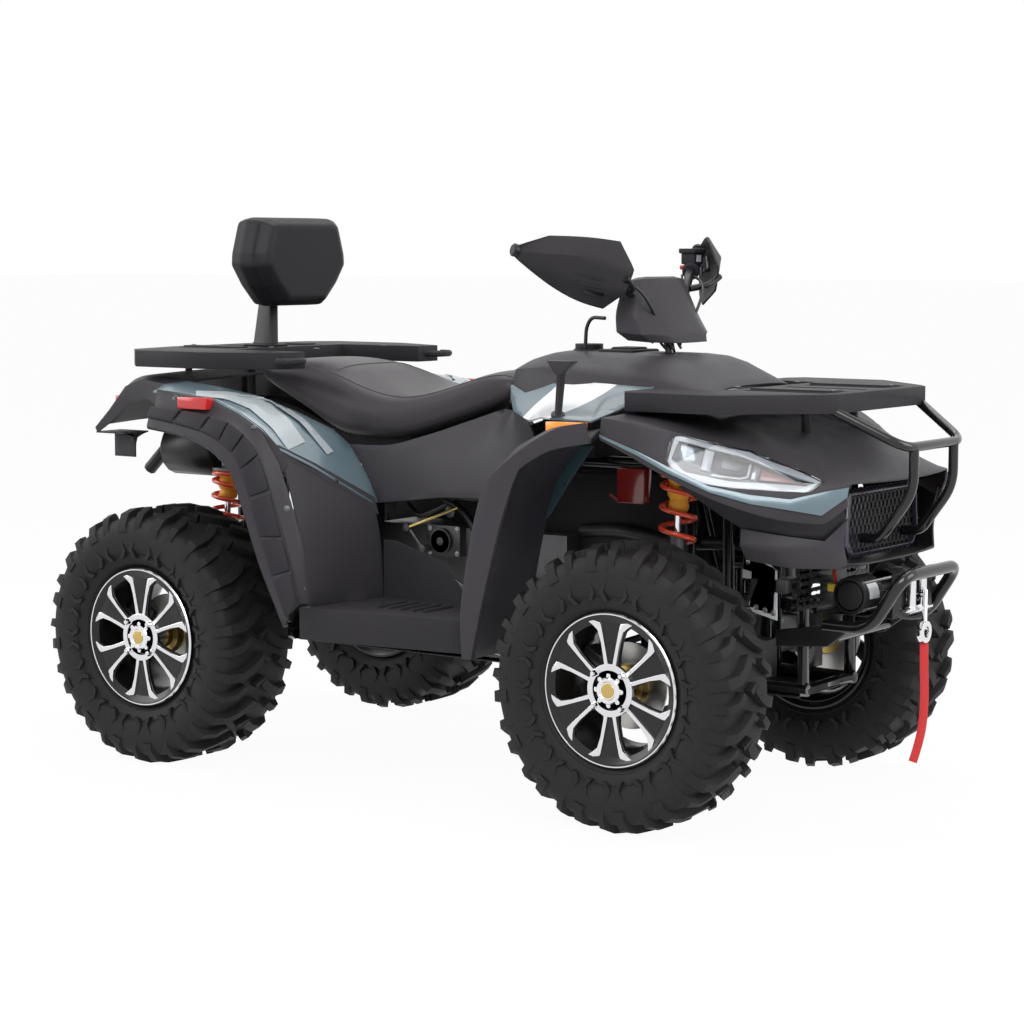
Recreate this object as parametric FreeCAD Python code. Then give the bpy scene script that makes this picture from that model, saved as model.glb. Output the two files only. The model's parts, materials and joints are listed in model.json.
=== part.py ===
import FreeCAD, Part
import math
import os

Vec = FreeCAD.Vector
os.makedirs("parts", exist_ok=True)

# A utility quad bike, in millimetres: X forward, Y left, Z up from the ground.
# It is modelled about the middle of its wheelbase and moved onto the middle of its length at the end.
# Left-hand pieces are modelled and then mirrored. Tubes and panels are faceted to keep the model light.

# Running gear
wheelbase = 1350.0
tyre_radius = 317.5
front_tyre_width = 205.0
rear_tyre_width = 255.0
front_track = 875.0
rear_track = 925.0
tyre_wall = 18.0
lug_height = 20.0
lug_root = 7.0
lug_pitches = 12
tyre_facets = 24
bead_radius = 152.4
flange_radius = 171.0
flange_wall = 6.0
rim_wall = 5.0
rim_recess = 18.0
rim_facets = 18
spoke_thickness = 14.0
spoke_count = 6
hub_radius = 44.0
hub_cap_radius = 27.0
hub_cap_height = 13.0
axle_hub_radius = 30.0
stub_radius = 15.0
disc_radius = 96.0
disc_thickness = 5.0
bead_share = 0.74
tyre_outside_shares = [(0.80, 1.0), (0.90, 0.93)]
crown_share = 0.80
tyre_inside_shares = [(0.83, 0.66)]
lug_centre_share = 0.14
lug_edge_share = 0.88
lug_edge_radius_share = 0.965
lug_width_share = 0.46
lug_skew_share = 0.30
window_shares = [(-0.08, 0.42), (0.08, 0.42), (0.27, 0.80), (-0.27, 0.80)]

# Clearances and the overrun of every cut
seat_gap = 0.3
pin_gap = 0.5
run_gap = 6.0
overrun = 20.0
flatness = 0.00001

# How many flats a tube, a larger round and a coil have
tube_sides = 8
round_sides = 16
coil_sides = 6

# Frame
rail_y = 110.0
rail_radius = 14.0
post_radius = 13.5
cross_radius = 13.0
brace_radius = 12.3
rail_z = 285.0
lower_rail_rear = 800.0
lower_rail_front = 935.0
upper_rail_z = 770.0
upper_rail_radius = 12.6
tail_rail_z = 862.0
tail_rail_rear = 960.0
tail_bend_x = 690.0
front_tower_half = 50.0
rear_tower_half = 72.0
tower_top_z = 815.0
tower_beam_half = 272.0
middle_upright_rear = 330.0
seat_kink = 450.0
seat_pad_x = 207.0
skid_thickness = 4.0
skid_half_width = 122.0
outrigger_radius = 10.0
outrigger_y = 438.0
outrigger_z = 388.0
bearing_plate = 10.0
low_bearing_z = 448.0
high_bearing_x = 570.0
middle_beam_x = 400.0

# Suspension and steering
arm_radius = 12.0
bush_radius = 15.0
bush_length = 44.0
arm_half_spread = 110.0
upper_arm_half_spread = 45.0
lower_pivot_z = 285.0
upper_pivot_z = 430.0
kingpin_y = 365.0
lower_joint_z = 236.0
upper_joint_z = 402.0
joint_radius = 17.0
joint_half_height = 18.0
upright_thickness = 26.0
upright_width = 56.0
cup_radius = 22.0
cup_reach = 25.5
cup_gap = 9.0
steer_arm = 100.0
steer_arm_thickness = 14.0
steer_arm_z = 370.0
steer_arm_offset = 15.0
caliper_turn = 60.0
caliper_length = 66.0
caliper_height = 40.0
caliper_width = 44.0
caliper_neck = 20.0
rod_radius = 8.0
rod_end_radius = 12.0
rod_inner_y = 30.0
rod_inner_gap = 9.0
stem_radius = 12.0
stem_low_z = 425.0
stem_top_z = 1085.0
stem_low_x = 657.0
bar_clamp_x = 482.0
pitman_length = 82.0
pitman_thickness = 10.0
shock_eye_radius = 14.0
shock_eye_length = 28.0
shock_low_y = 262.0
shock_top_y = 238.0
shock_tube_radius = 21.0
shock_rod_radius = 8.0
spring_radius = 38.0
spring_wire = 9.0
spring_turns = 5
spring_seat = 9.0
spring_low_share = 0.22
spring_high_share = 0.94
tube_end_share = 0.55
diff_half_length = 72.0
diff_half_width = 78.0
diff_half_height = 46.0
shaft_radius = 12.0
boot_radius = 24.0
boot_root = 14.0
boot_length = 55.0

# Engine, its right side, exhaust and the box beside the front shock
engine_rear = 270.0
engine_front = 290.0
engine_half_width = 124.0
case_height = 290.0
cylinder_x = 20.0
cylinder_length = 130.0
cylinder_half_width = 62.0
cylinder_height = 114.0
flange_x = 108.0
flange_length = 100.0
flange_low_z = 521.0
flange_height = 75.0
flange_depth = 26.0
cover_radius = 31.0
cover_depth = 14.0
filter_x = 58.0
filter_z = 505.0
filter_radius = 24.0
filter_depth = 58.0
link_y = 176.0
link_pivot_x = 146.0
link_pivot_z = 588.0
link_foot_x = 101.0
link_foot_z = 539.0
link_rod_x = 6.0
link_rod_z = 646.0
link_radius = 5.0
link_rod_radius = 3.5
prop_radius = 14.0
muffler_radius = 68.0
muffler_length = 152.0
muffler_x = 812.0
muffler_y = 200.0
muffler_z = 752.0
muffler_end = 14.0
pipe_y = 172.0
pipe_radius = 19.0
tail_pipe_radius = 17.0
tail_pipe_length = 104.0
tail_pipe_drop = 62.0
control_box_rear = 492.0
control_box_length = 74.0
control_box_y = 186.0
control_box_depth = 32.0
control_box_z = 690.0
control_box_height = 80.0
control_plate = 4.0

# Racks
rack_plate = 5.0
rack_skirt = 41.0
rack_rib = 4.0
rack_rib_y = 135.0
rack_rib_width = 46.0
front_rack_rear = 605.0
front_rack_front = 1052.0
front_rack_half = 400.0
front_rack_top = 955.0
rear_rack_front = 429.0
rear_rack_rear = 945.0
rear_rack_half = 400.0
rear_rack_top = 1012.0
rack_leg_radius = 10.0
front_leg_y = 250.0
rear_outer_leg_y = 330.0
rear_outer_leg_x = 792.0
rear_leg_pitch = 48.0
slot_count = 5
slot_pitch = 90.0
slot_width = 26.0
slot_inset = 40.0
grab_radius = 9.0
grab_length = 66.0
grab_y = 330.0
front_rack_shares = [(0.36, 0.53), (0.0, 0.62), (0.0, 0.90), (0.06, 1.0), (0.54, 1.0), (0.93, 0.62),
                     (1.0, 0.52)]
rear_rack_shares = [(0.49, 0.54), (0.0, 0.57), (0.0, 0.78), (0.06, 0.82), (0.37, 1.0), (0.80, 1.0),
                    (0.93, 0.84),
                    (1.0, 0.40)]

# Brush guard, bumper and winch
guard_radius = 11.0
guard_front = 1179.0
guard_half = 137.0
guard_top_z = 841.0
guard_root_x = 1034.0
guard_root_y = 206.0
guard_root_z = 922.0
guard_drop_y = 96.0
guard_drop_z = 742.0
guard_foot_z = 636.0
guard_foot_x = 1100.0
bumper_radius = 14.0
bumper_front = 1177.0
bumper_half = 132.0
bumper_top_z = 562.0
bumper_root_z = 440.0
bumper_bend_x = 1098.0
bumper_root_x = 985.0
bumper_plate = 16.0
bumper_plate_rear = 866.0
bumper_plate_length = 174.0
bumper_plate_low_z = 383.0
bumper_plate_height = 66.0
front_plate_half = 168.0
front_plate_thickness = 3.0
front_plate_low_z = 470.0
front_plate_height = 96.0
winch_x = 1040.0
winch_z = 508.0
winch_radius = 42.0
winch_half = 118.0
drum_radius = 26.0
drum_half = 38.0
winch_plate = 5.0
winch_plate_half = 95.0
winch_foot = 26.0
fairlead_x = 1128.0
fairlead_half = 60.0
fairlead_height = 92.0
fairlead_window = 22.0
roller_radius = 10.0
roller_half = 26.0
hook_wire = 6.0
hook_radius = 19.0
hook_x = 1163.0
hook_z = 444.0
hook_sides = 12

# Bodywork
panel_wall = 4.0
nose_rear = 626.0
nose_length = 502.0
nose_half = 490.0
nose_base_z = 670.0
nose_height = 245.0
lamp_depth = 44.0
lamp_reach_share = 0.40
tank_rear = 152.0
tank_length = 580.0
tank_half = 215.0
tank_base_z = 900.0
tank_height = 125.0
fuel_rear = 236.0
fuel_length = 150.0
fuel_half = 150.0
cap_x = 268.0
cap_radius = 34.0
cap_height = 16.0
shroud_rear = 880.0
shroud_length = 232.0
shroud_half = 330.0
shroud_base_z = 578.0
shroud_height = 182.0
grille_x = 1046.0
grille_half = 176.0
grille_low_z = 598.0
grille_height = 142.0
grille_thickness = 8.0
cell_pitch = 34.0
cell_wall = 6.0
radiator_thickness = 36.0
radiator_half = 160.0
radiator_height = 150.0
front_arch_inner = 292.0
front_arch_outer = 520.0
flare_width = 20.0
rear_arch_inner = 528.0
rear_arch_outer = 592.0
pad_height = 9.0
tail_front = 690.0
tail_length = 390.0
tail_half = 330.0
tail_base_z = 790.0
tail_height = 158.0
holder_rear = 1064.0
holder_length = 98.0
holder_width = 92.0
holder_y = 322.0
holder_low_z = 728.0
holder_top_z = 790.0
footrest_front = 272.8
footrest_rear = 182.0
sill_rear_y = 545.0
sill_front_y = 492.0
footrest_inner_y = 292.0
footrest_rim_z = 430.0
footrest_low_z = 354.0
footrest_guard_top = 572.0
sill_width = 44.0
tread_count = 5
tread_pitch = 34.0
tread_width = 7.0
tread_height = 6.0
tread_length = 110.0
tread_y = 340.0
well_rear = 268.0
well_length = 140.0
well_outer_y = 526.0
well_height = 361.0
side_rear = 290.0
side_length = 910.0
side_half = 480.0
side_base_z = 640.0
side_height = 320.0
body_rear = 740.0
body_length = 600.0
body_half = 528.0
body_base_z = 650.0
body_height = 290.0
bracket_y = 190.0
bracket_plate = 4.0
bracket_rear = 812.0
bracket_length = 84.0
bracket_low_z = 460.0
bracket_height = 154.0
bracket_foot_height = 30.0

# Seat, backrest and lamps
seat_rear = 662.0
seat_length = 812.0
seat_half = 222.0
seat_base_z = 797.0
seat_height = 196.0
pad_half_width = 180.0
pad_thickness = 118.0
pad_tall = 228.0
pad_x = 669.0
pad_low_z = 1119.0
post_half_width = 15.0
post_depth = 62.0
post_wall = 6.0
marker_length = 92.0
marker_height = 28.0
marker_depth = 16.0
marker_sink = 12.0
marker_front_x = 533.0
marker_front_y = 478.0
marker_front_z = 862.0
marker_rear_x = 505.0
marker_rear_y = 542.5
marker_rear_z = 884.0
tail_lamp_y = 190.0
tail_lamp_length = 120.0
tail_lamp_height = 34.0
tail_lamp_depth = 16.0
tail_lamp_z = 850.0
tail_lamp_x = 1048.0
hitch_length = 90.0
hitch_width = 64.0
hitch_thickness = 8.0
hitch_bore_radius = 9.75

# Handlebar
bar_radius = 11.0
bar_middle_z = 1112.0
bar_middle_y = 62.0
bar_bend_x = 452.0
bar_bend_y = 150.0
bar_bend_z = 1196.0
bar_end_x = 350.0
bar_end_y = 350.0
bar_end_z = 1252.0
grip_radius = 16.0
grip_length = 118.0
switch_radius = 23.0
switch_length = 52.0
lever_reach = 34.0
lever_blade = 6.0
reservoir_half = 20.0
reservoir_height = 34.0
guard_wall = 4.0
hand_guard_rear = 326.0
hand_guard_length = 188.0
hand_guard_inner = 182.0
hand_guard_width = 208.0
hand_guard_low = 1130.0
hand_guard_height = 166.0
guard_arm_radius = 7.0
guard_arm_length = 43.0
pod_rear = 438.0
pod_length = 120.0
pod_half = 152.0
pod_low_z = 1034.0
pod_height = 168.0
pod_brace_radius = 6.0
lever_x = 460.0
lever_y = 408.0
lever_lean_x = 44.0
lever_lean_y = 46.0
lever_low_z = 890.0
lever_top_z = 1022.0
lever_radius = 8.0
lever_knob = 34.0
lever_knob_depth = 26.0
lever_foot = 14.0

front_reach = bumper_front + bumper_radius
rear_reach = tail_front + tail_length
middle_shift = (rear_reach - front_reach) / 2
front_axle = wheelbase / 2
rear_axle = -wheelbase / 2
kingpin_w = kingpin_y - front_track / 2
pieces = {}


def flat(radius):
    """How far the flats of a faceted tube lie from its axis."""
    return radius * math.cos(math.pi / tube_sides)


def box(x0, x1, y0, y1, z0, z1):
    return Part.makeBox(x1 - x0, y1 - y0, z1 - z0, Vec(x0, y0, z0))


def pin(start, end, radius):
    """A true cylinder, for whatever turns or is bored."""
    a, b = Vec(*start), Vec(*end)
    return Part.makeCylinder(radius, (b - a).Length, a, b - a)


def wire(points):
    corners = [Vec(*p) for p in points]
    return Part.makePolygon(corners + [corners[0]])


def face(points):
    return Part.Face(wire(points))


def quad(a, b, c, d, turn=False):
    """One flat face, or two triangles where the four points aren't in a plane."""
    corners = []
    for p in (b, c, d, a) if turn else (a, b, c, d):
        if not corners or ((p - corners[-1]).Length > 0 and (p - corners[0]).Length > 0):
            corners.append(p)
    if len(corners) < 4:
        return [face(corners)] if len(corners) == 3 else []
    a, b, c, d = corners
    normal = (b - a).cross(c - a)
    if abs(normal.dot(d - a)) < normal.Length * flatness:
        return [face([a, b, c, d])]
    return [face([a, b, c]), face([a, c, d])]


def solid(faces):
    body = Part.makeSolid(Part.makeShell(faces))
    return body if body.Volume > 0 else body.reversed()


def loft(sections):
    """A solid through closed outlines of equally many points, with flat faces."""
    rings = [[Vec(*p) for p in s] for s in sections]
    faces = [face(rings[0]), face(rings[-1])]
    for low, high in zip(rings, rings[1:]):
        for i in range(len(low)):
            k = (i + 1) % len(low)
            faces += quad(low[i], low[k], high[k], high[i])
    return solid(faces)


def circle(centre, way, radius, sides):
    """Points round a circle about a direction, with flats facing the axes."""
    along = Vec(way).normalize()
    up = Vec(0, 0, 1) if abs(along.z) < math.cos(math.pi / 8) else Vec(1, 0, 0)
    side = up.cross(along).normalize()
    up = along.cross(side)
    turns = [2 * math.pi * (i + 0.5) / sides for i in range(sides)]
    return [centre + side * (radius * math.sin(t)) + up * (radius * math.cos(t)) for t in turns]


def rod(start, end, radius, sides=tube_sides):
    a, b = Vec(*start), Vec(*end)
    return face(circle(a, b - a, radius, sides)).extrude(b - a)


def cone(start, end, radius, end_radius, sides=tube_sides):
    a, b = Vec(*start), Vec(*end)
    return loft([circle(a, b - a, radius, sides), circle(b, b - a, end_radius, sides)])


def tube(points, radius, sides=tube_sides):
    """A faceted tube along straight runs with mitred corners."""
    route = [Vec(*p) for p in points]
    ways = [(b - a).normalize() for a, b in zip(route, route[1:])]
    rings = [circle(route[0], ways[0], radius, sides)]
    for i, spot in enumerate(route[1:], 1):
        normal = ways[i - 1] + ways[i] if i < len(ways) else Vec(ways[-1])
        before = ways[i - 1]
        rings.append([p + before * ((spot - p).dot(normal) / before.dot(normal)) for p in rings[-1]])
    return loft(rings)


def bend(points, radius, steps=2):
    """Round the corners of a route: each inner point becomes a few points on an arc."""
    route = [Vec(*points[0])]
    for before, corner, after in zip(points, points[1:], points[2:]):
        a, c, b = Vec(*before), Vec(*corner), Vec(*after)
        u, w = (a - c).normalize(), (b - c).normalize()
        half = u.getAngle(w) / 2
        reach = radius / math.tan(half)
        middle = c + (u + w).normalize() * (radius / math.sin(half))
        for i in range(steps + 1):
            t = i / steps
            spot = (c + u * reach) * (1 - t) + (c + w * reach) * t
            route.append(middle + (spot - middle).normalize() * radius)
    route.append(Vec(*points[-1]))
    return [(p.x, p.y, p.z) for p in route]


def prism(points, axis, start, end):
    """Extrude a flat outline along an axis; its points leave that axis out."""
    place = {"x": lambda p: (start, p[0], p[1]), "y": lambda p: (p[0], start, p[1]),
             "z": lambda p: (p[0], p[1], start)}[axis]
    way = {"x": Vec(1, 0, 0), "y": Vec(0, 1, 0), "z": Vec(0, 0, 1)}[axis]
    return face([place(p) for p in points]).extrude(way * (end - start))


def fuse(shapes):
    whole = shapes[0]
    for other in shapes[1:]:
        whole = whole.fuse(other)
    merged = whole.removeSplitter()
    return merged if merged.isValid() else whole


def flip(shape):
    return shape.mirror(Vec(0, 0, 0), Vec(0, 1, 0))


def pair(shape):
    return Part.makeCompound([shape, flip(shape)])


def both(name, shape):
    pieces[name + "_left"] = shape
    pieces[name + "_right"] = flip(shape)


def ring(profile, facets, inside=False):
    """A faceted ring about the Y axis from a closed outline of (radius, y) points."""
    stretch = 1 if inside else 1 / math.cos(math.pi / facets)
    faces = []
    for i in range(facets):
        a0, a1 = 2 * math.pi * (i - 0.5) / facets, 2 * math.pi * (i + 0.5) / facets
        for (r0, y0), (r1, y1) in zip(profile, profile[1:] + profile[:1]):
            faces.append(face([Vec(r * stretch * math.sin(a), y, -r * stretch * math.cos(a))
                               for r, y, a in ((r0, y0, a0), (r1, y1, a0), (r1, y1, a1), (r0, y0, a1))]))
    return solid(faces)


def skin(rows, wall, lift=0.0):
    """A panel of even thickness over a grid of points, its outside lifted by a gap where asked."""
    grid = [[Vec(*p) for p in row] for row in rows]
    last_i, last_j = len(grid) - 1, len(grid[0]) - 1
    around = [[[] for _ in row] for row in grid]
    for i in range(last_i):
        for j in range(last_j):
            spots = ((i, j), (i + 1, j), (i + 1, j + 1), (i, j + 1))
            a, b, c, d = [grid[m][n] for m, n in spots]
            normal = (c - a).cross(d - b)
            if normal.Length > 0:
                normal.normalize()
                for m, n in spots:
                    around[m][n].append(normal)
    outer, inner = [], []
    for row, near in zip(grid, around):
        out_row, in_row = [], []
        for p, normals in zip(row, near):
            mean = Vec(0, 0, 0)
            for normal in normals:
                mean = mean + normal
            mean.normalize()
            spread = sum(mean.dot(normal) for normal in normals) / len(normals)
            step = mean * (1 / max(spread, 0.6))
            out_row.append(p + step * math.copysign(lift, wall))
            in_row.append(p - step * wall)
        outer.append(out_row)
        inner.append(in_row)
    faces = []
    for i in range(last_i):
        for j in range(last_j):
            turn = (grid[i + 1][j + 1] - grid[i][j]).Length > (grid[i][j + 1] - grid[i + 1][j]).Length + flatness
            for g in (outer, inner):
                faces += quad(g[i][j], g[i + 1][j], g[i + 1][j + 1], g[i][j + 1], turn)
    rim_spots = [(i, 0) for i in range(last_i)] + [(last_i, j) for j in range(last_j)]
    rim_spots += [(i, last_j) for i in range(last_i, 0, -1)] + [(0, j) for j in range(last_j, 0, -1)]
    for (i, j), (m, n) in zip(rim_spots, rim_spots[1:] + rim_spots[:1]):
        faces += quad(outer[i][j], outer[m][n], inner[m][n], inner[i][j])
    return solid(faces)


def cut_back(shape, rows, wall):
    """Cut a panel back to just off the outside of the panel that it meets."""
    left = shape.cut(skin(rows, wall, seat_gap))
    return max(left.Solids, key=lambda s: s.Volume)


def placed(shares, rear, length, half, base, height):
    """Turn a table of shares into points, left-hand side."""
    return [[(rear + length * a, half * b, base + height * c) for a, b, c in row] for row in shares]


def across(rows):
    """Carry each row on over the middle to the right-hand side; a row ends on the middle."""
    return [row + [(x, -y, z) for x, y, z in reversed(row[:-1])] for row in rows]


# Wheels: tyre with its lugs, and a rim with its hub, brake disc and stub

def lug(half, side):
    """One slanted tread block at the bottom of the tyre, on one side of its middle."""
    width = 2 * math.pi * tyre_radius / lug_pitches * lug_width_share
    base = tyre_radius - lug_height - lug_root
    skew = 2 * math.pi * tyre_radius / lug_pitches * lug_skew_share
    sections = []
    for y, top, at in ((-lug_centre_share * half, tyre_radius, 0.0),
                       (lug_edge_share * half, tyre_radius * lug_edge_radius_share, skew)):
        sections.append([(at - width / 2, y * side, -base), (at + width / 2, y * side, -base),
                         (at + width / 2, y * side, -top), (at - width / 2, y * side, -top)])
    return loft(sections)


def tyre(width):
    half = width / 2
    crown = tyre_radius - lug_height
    outside = [(bead_radius, half * bead_share), (flange_radius + flange_wall, half * bead_share)]
    outside += [(tyre_radius * r, half * y) for r, y in tyre_outside_shares[:1]] + [(crown,
                half * crown_share)]
    inside = [(bead_radius, half * bead_share - tyre_wall)]
    inside += [(tyre_radius * r, half * y) for r, y in tyre_inside_shares]
    outline = outside + [(r, -y) for r, y in reversed(outside)]
    outline += [(r, -y) for r, y in inside] + list(reversed(inside))
    body = ring(outline, tyre_facets)
    lugs = []
    for i in range(lug_pitches):
        for side, start in ((1, 0.0), (-1, 0.5)):
            block = lug(half, side)
            block.rotate(Vec(0, 0, 0), Vec(0, 1, 0), 360 * (i + start) / lug_pitches)
            lugs.append(block)
    return body.fuse(lugs)


def turned(points, radius, turn, start, end):
    """A hole or pocket from shares of a radius, turned about the Y axis."""
    cut = prism([(radius * x, radius * z) for x, z in points], "y", start, end)
    cut.rotate(Vec(0, 0, 0), Vec(0, 1, 0), turn)
    return cut


def rim(half, bead_half):
    outer = bead_radius - seat_gap
    side = [(outer, bead_half + seat_gap), (flange_radius, bead_half + seat_gap), (flange_radius, half),
            (flange_radius - flange_wall, half), (outer - rim_wall, bead_half - rim_wall)]
    outline = side + [(r, -y) for r, y in reversed(side)]
    parts = []
    front = half - rim_wall
    back = front - spoke_thickness
    plate = rod((0, back, 0), (0, front, 0), outer - rim_wall / 2, rim_facets)
    cuts = []
    for i in range(spoke_count):
        turn = 360.0 * i / spoke_count
        cuts.append(turned(window_shares, flange_radius, turn + 180.0 / spoke_count, back - overrun,
            front + overrun))
    parts.append(ring(outline, rim_facets, True).fuse(plate.cut(cuts)))
    parts.append(rod((0, back, 0), (0, front + seat_gap, 0), hub_radius, round_sides))
    parts.append(rod((0, front, 0), (0, front + hub_cap_height, 0), hub_cap_radius, round_sides))
    return parts


def wheel(name, x, y, width):
    half = width / 2 - rim_recess
    inner_y = kingpin_w + upright_thickness / 2 + seat_gap
    shaft = rod((0, inner_y, 0), (0, half - rim_wall - spoke_thickness / 2, 0), axle_hub_radius, tube_sides)
    disc = rod((0, 0, 0), (0, disc_thickness, 0), disc_radius, round_sides)
    stub = pin((0, inner_y - upright_thickness, 0), (0, inner_y + overrun, 0), stub_radius)
    wheel_rim = fuse(rim(half, bead_share * width / 2) + [shaft, disc, stub])
    for shape, label in ((tyre(width), "tyre_" + name), (wheel_rim, "rim_" + name)):
        shape.translate(Vec(x, y, tyre_radius))
        both(label, shape)


for axle_name, axle_x, track, tyre_width in (("front", front_axle, front_track, front_tyre_width),
                                             ("rear", rear_axle, rear_track, rear_tyre_width)):
    wheel(axle_name, axle_x, track / 2, tyre_width)


# Frame: lower rails, front and rear towers, upper rails, and outriggers for the footrests

def stem_at(z):
    return stem_low_x + (bar_clamp_x - stem_low_x) * (z - stem_low_z) / (stem_top_z - stem_low_z)


def stem_line(radius, low, high):
    return pin((stem_at(low), 0, low), (stem_at(high), 0, high), radius)


def outrigger_z_at(y):
    slope = (outrigger_z - rail_z) / (outrigger_y - rail_y)
    return rail_z + slope * (y - rail_y) + outrigger_radius * math.hypot(1, slope)


post_low_z = rail_z + flat(rail_radius) + seat_gap
upper_low_z = upper_rail_z - flat(upper_rail_radius) - seat_gap
rear_top_z = upper_low_z - flat(rail_radius)
nose_post_x = lower_rail_front - rail_radius
tower_rear_x = front_axle - front_tower_half
side = rail_y


def mirrored(half_parts):
    half = fuse(half_parts)
    return fuse([half, flip(half)])


def frame_lower():
    parts = [rod((-lower_rail_rear, side, rail_z), (lower_rail_front, side, rail_z), rail_radius)]
    for x in (-lower_rail_rear + rail_radius, nose_post_x, -middle_upright_rear, middle_beam_x):
        parts.append(rod((x, 0, rail_z), (x, side, rail_z), brace_radius))
    for x in (-footrest_rear / 2, footrest_front / 2):
        parts.append(rod((x, side, rail_z), (x, outrigger_y, outrigger_z), outrigger_radius))
        parts.append(rod((x, outrigger_y - outrigger_radius, outrigger_z - outrigger_radius),
                         (x, outrigger_y - outrigger_radius, footrest_rim_z - panel_wall - seat_gap),
                         outrigger_radius))
    return mirrored(parts)


def frame_front():
    parts = [rod((x, side, post_low_z), (x, side, tower_top_z), post_radius)
             for x in (tower_rear_x, front_axle + front_tower_half, nose_post_x)]
    parts.append(rod((tower_rear_x - rail_radius, side, tower_top_z),
        (nose_post_x + rail_radius, side, tower_top_z),
                     rail_radius))
    parts.append(rod((front_axle, 0, tower_top_z),
        (front_axle, tower_beam_half, tower_top_z), cross_radius))
    parts.append(rod((nose_post_x, 0, upper_joint_z), (nose_post_x, side, upper_joint_z), brace_radius))
    parts.append(box(tower_rear_x, front_axle + front_tower_half, 0, side, low_bearing_z,
                     low_bearing_z + bearing_plate))
    whole = mirrored(parts)
    return whole.cut(stem_line(stem_radius + pin_gap, stem_low_z, stem_top_z))


def frame_rear():
    parts = []
    for x in (rear_axle - rear_tower_half, rear_axle + rear_tower_half):
        parts.append(rod((x, side, post_low_z), (x, side, rear_top_z), post_radius))
    reach = rear_tower_half + rail_radius
    parts.append(rod((rear_axle - reach, side, rear_top_z),
        (rear_axle + reach, side, rear_top_z), rail_radius))
    parts.append(rod((rear_axle, 0, rear_top_z), (rear_axle, tower_beam_half, rear_top_z), cross_radius))
    return mirrored(parts)


def frame_upper():
    start = tower_rear_x - flat(post_radius) - seat_gap
    route = bend([(start, side, upper_rail_z), (-seat_kink, side, upper_rail_z),
                  (-tail_bend_x, side, tail_rail_z),
                  (-tail_rail_rear, side, tail_rail_z)], upper_rail_radius * 6, 1)
    parts = [tube(route, upper_rail_radius)]
    parts.append(rod((-tail_rail_rear + rail_radius, 0, tail_rail_z),
        (-tail_rail_rear + rail_radius, side, tail_rail_z),
                     brace_radius))
    parts.append(rod((-middle_upright_rear, side, post_low_z), (-middle_upright_rear, side, upper_rail_z),
                     brace_radius))
    parts.append(rod((-seat_pad_x, side, upper_rail_z),
        (-seat_pad_x, side, seat_base_z - seat_gap), brace_radius))
    parts.append(box(high_bearing_x - overrun, high_bearing_x + overrun, 0, side,
        upper_rail_z - bearing_plate / 2,
                     upper_rail_z + bearing_plate / 2))
    return mirrored(parts).cut(stem_line(stem_radius + pin_gap, stem_low_z, stem_top_z))


pieces["frame_lower"] = frame_lower()
pieces["frame_front"] = frame_front()
pieces["frame_rear"] = frame_rear()
pieces["frame_upper"] = frame_upper()
skid_top = rail_z - flat(rail_radius)
pieces["skid_plate"] = box(-lower_rail_rear + overrun, lower_rail_front - overrun, -skid_half_width,
       skid_half_width,
                           skid_top - skid_thickness, skid_top)
engine_low_z = outrigger_z_at(engine_half_width) + seat_gap


# Engine with the parts that show on its right, exhaust and drivetrain

def engine():
    top = engine_low_z + case_height
    case = box(-engine_rear, engine_front, -engine_half_width, engine_half_width, engine_low_z, top)
    barrel = box(cylinder_x, cylinder_x + cylinder_length, -cylinder_half_width, cylinder_half_width, top,
                 top + cylinder_height)
    fins = []
    for i in range(1, 5):
        z = top + cylinder_height * i / 6
        fins.append(box(cylinder_x - seat_gap - tyre_wall / 2, cylinder_x + cylinder_length + tyre_wall / 2,
                        -cylinder_half_width - tyre_wall / 2, cylinder_half_width + tyre_wall / 2, z, z + winch_plate))
    y = -engine_half_width
    flange = box(-flange_x, -flange_x + flange_length, y - flange_depth, y, flange_low_z,
        flange_low_z + flange_height)
    x, z = -flange_x + flange_length / 2, flange_low_z + flange_height / 2
    cover = rod((x, y, z), (x, y - flange_depth - cover_depth, z), cover_radius, round_sides)
    drum = rod((filter_x, y, filter_z), (filter_x, y - filter_depth, filter_z), filter_radius, round_sides)
    neck = rod((filter_x, y - filter_depth / 2, filter_z),
        (filter_x, y - filter_depth / 2, top + cover_depth),
               filter_radius / 2)
    return fuse([case, barrel, flange, cover, drum, neck] + fins)


def gear_linkage():
    pivot = (-link_pivot_x, -link_y, link_pivot_z)
    foot = (-link_foot_x, -link_y, link_foot_z)
    hub = rod((foot[0], -engine_half_width - flange_depth - seat_gap, foot[2]),
                    (foot[0], -link_y - link_radius, foot[2]),
              2 * link_radius)
    arm = rod(foot, pivot, link_radius)
    ball = rod((pivot[0], -link_y + link_radius, pivot[2]), (pivot[0], -link_y - 2 * link_radius, pivot[2]),
               2 * link_radius)
    return fuse([hub, arm, ball, rod(pivot, (link_rod_x, -link_y, link_rod_z), link_rod_radius)])


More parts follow.
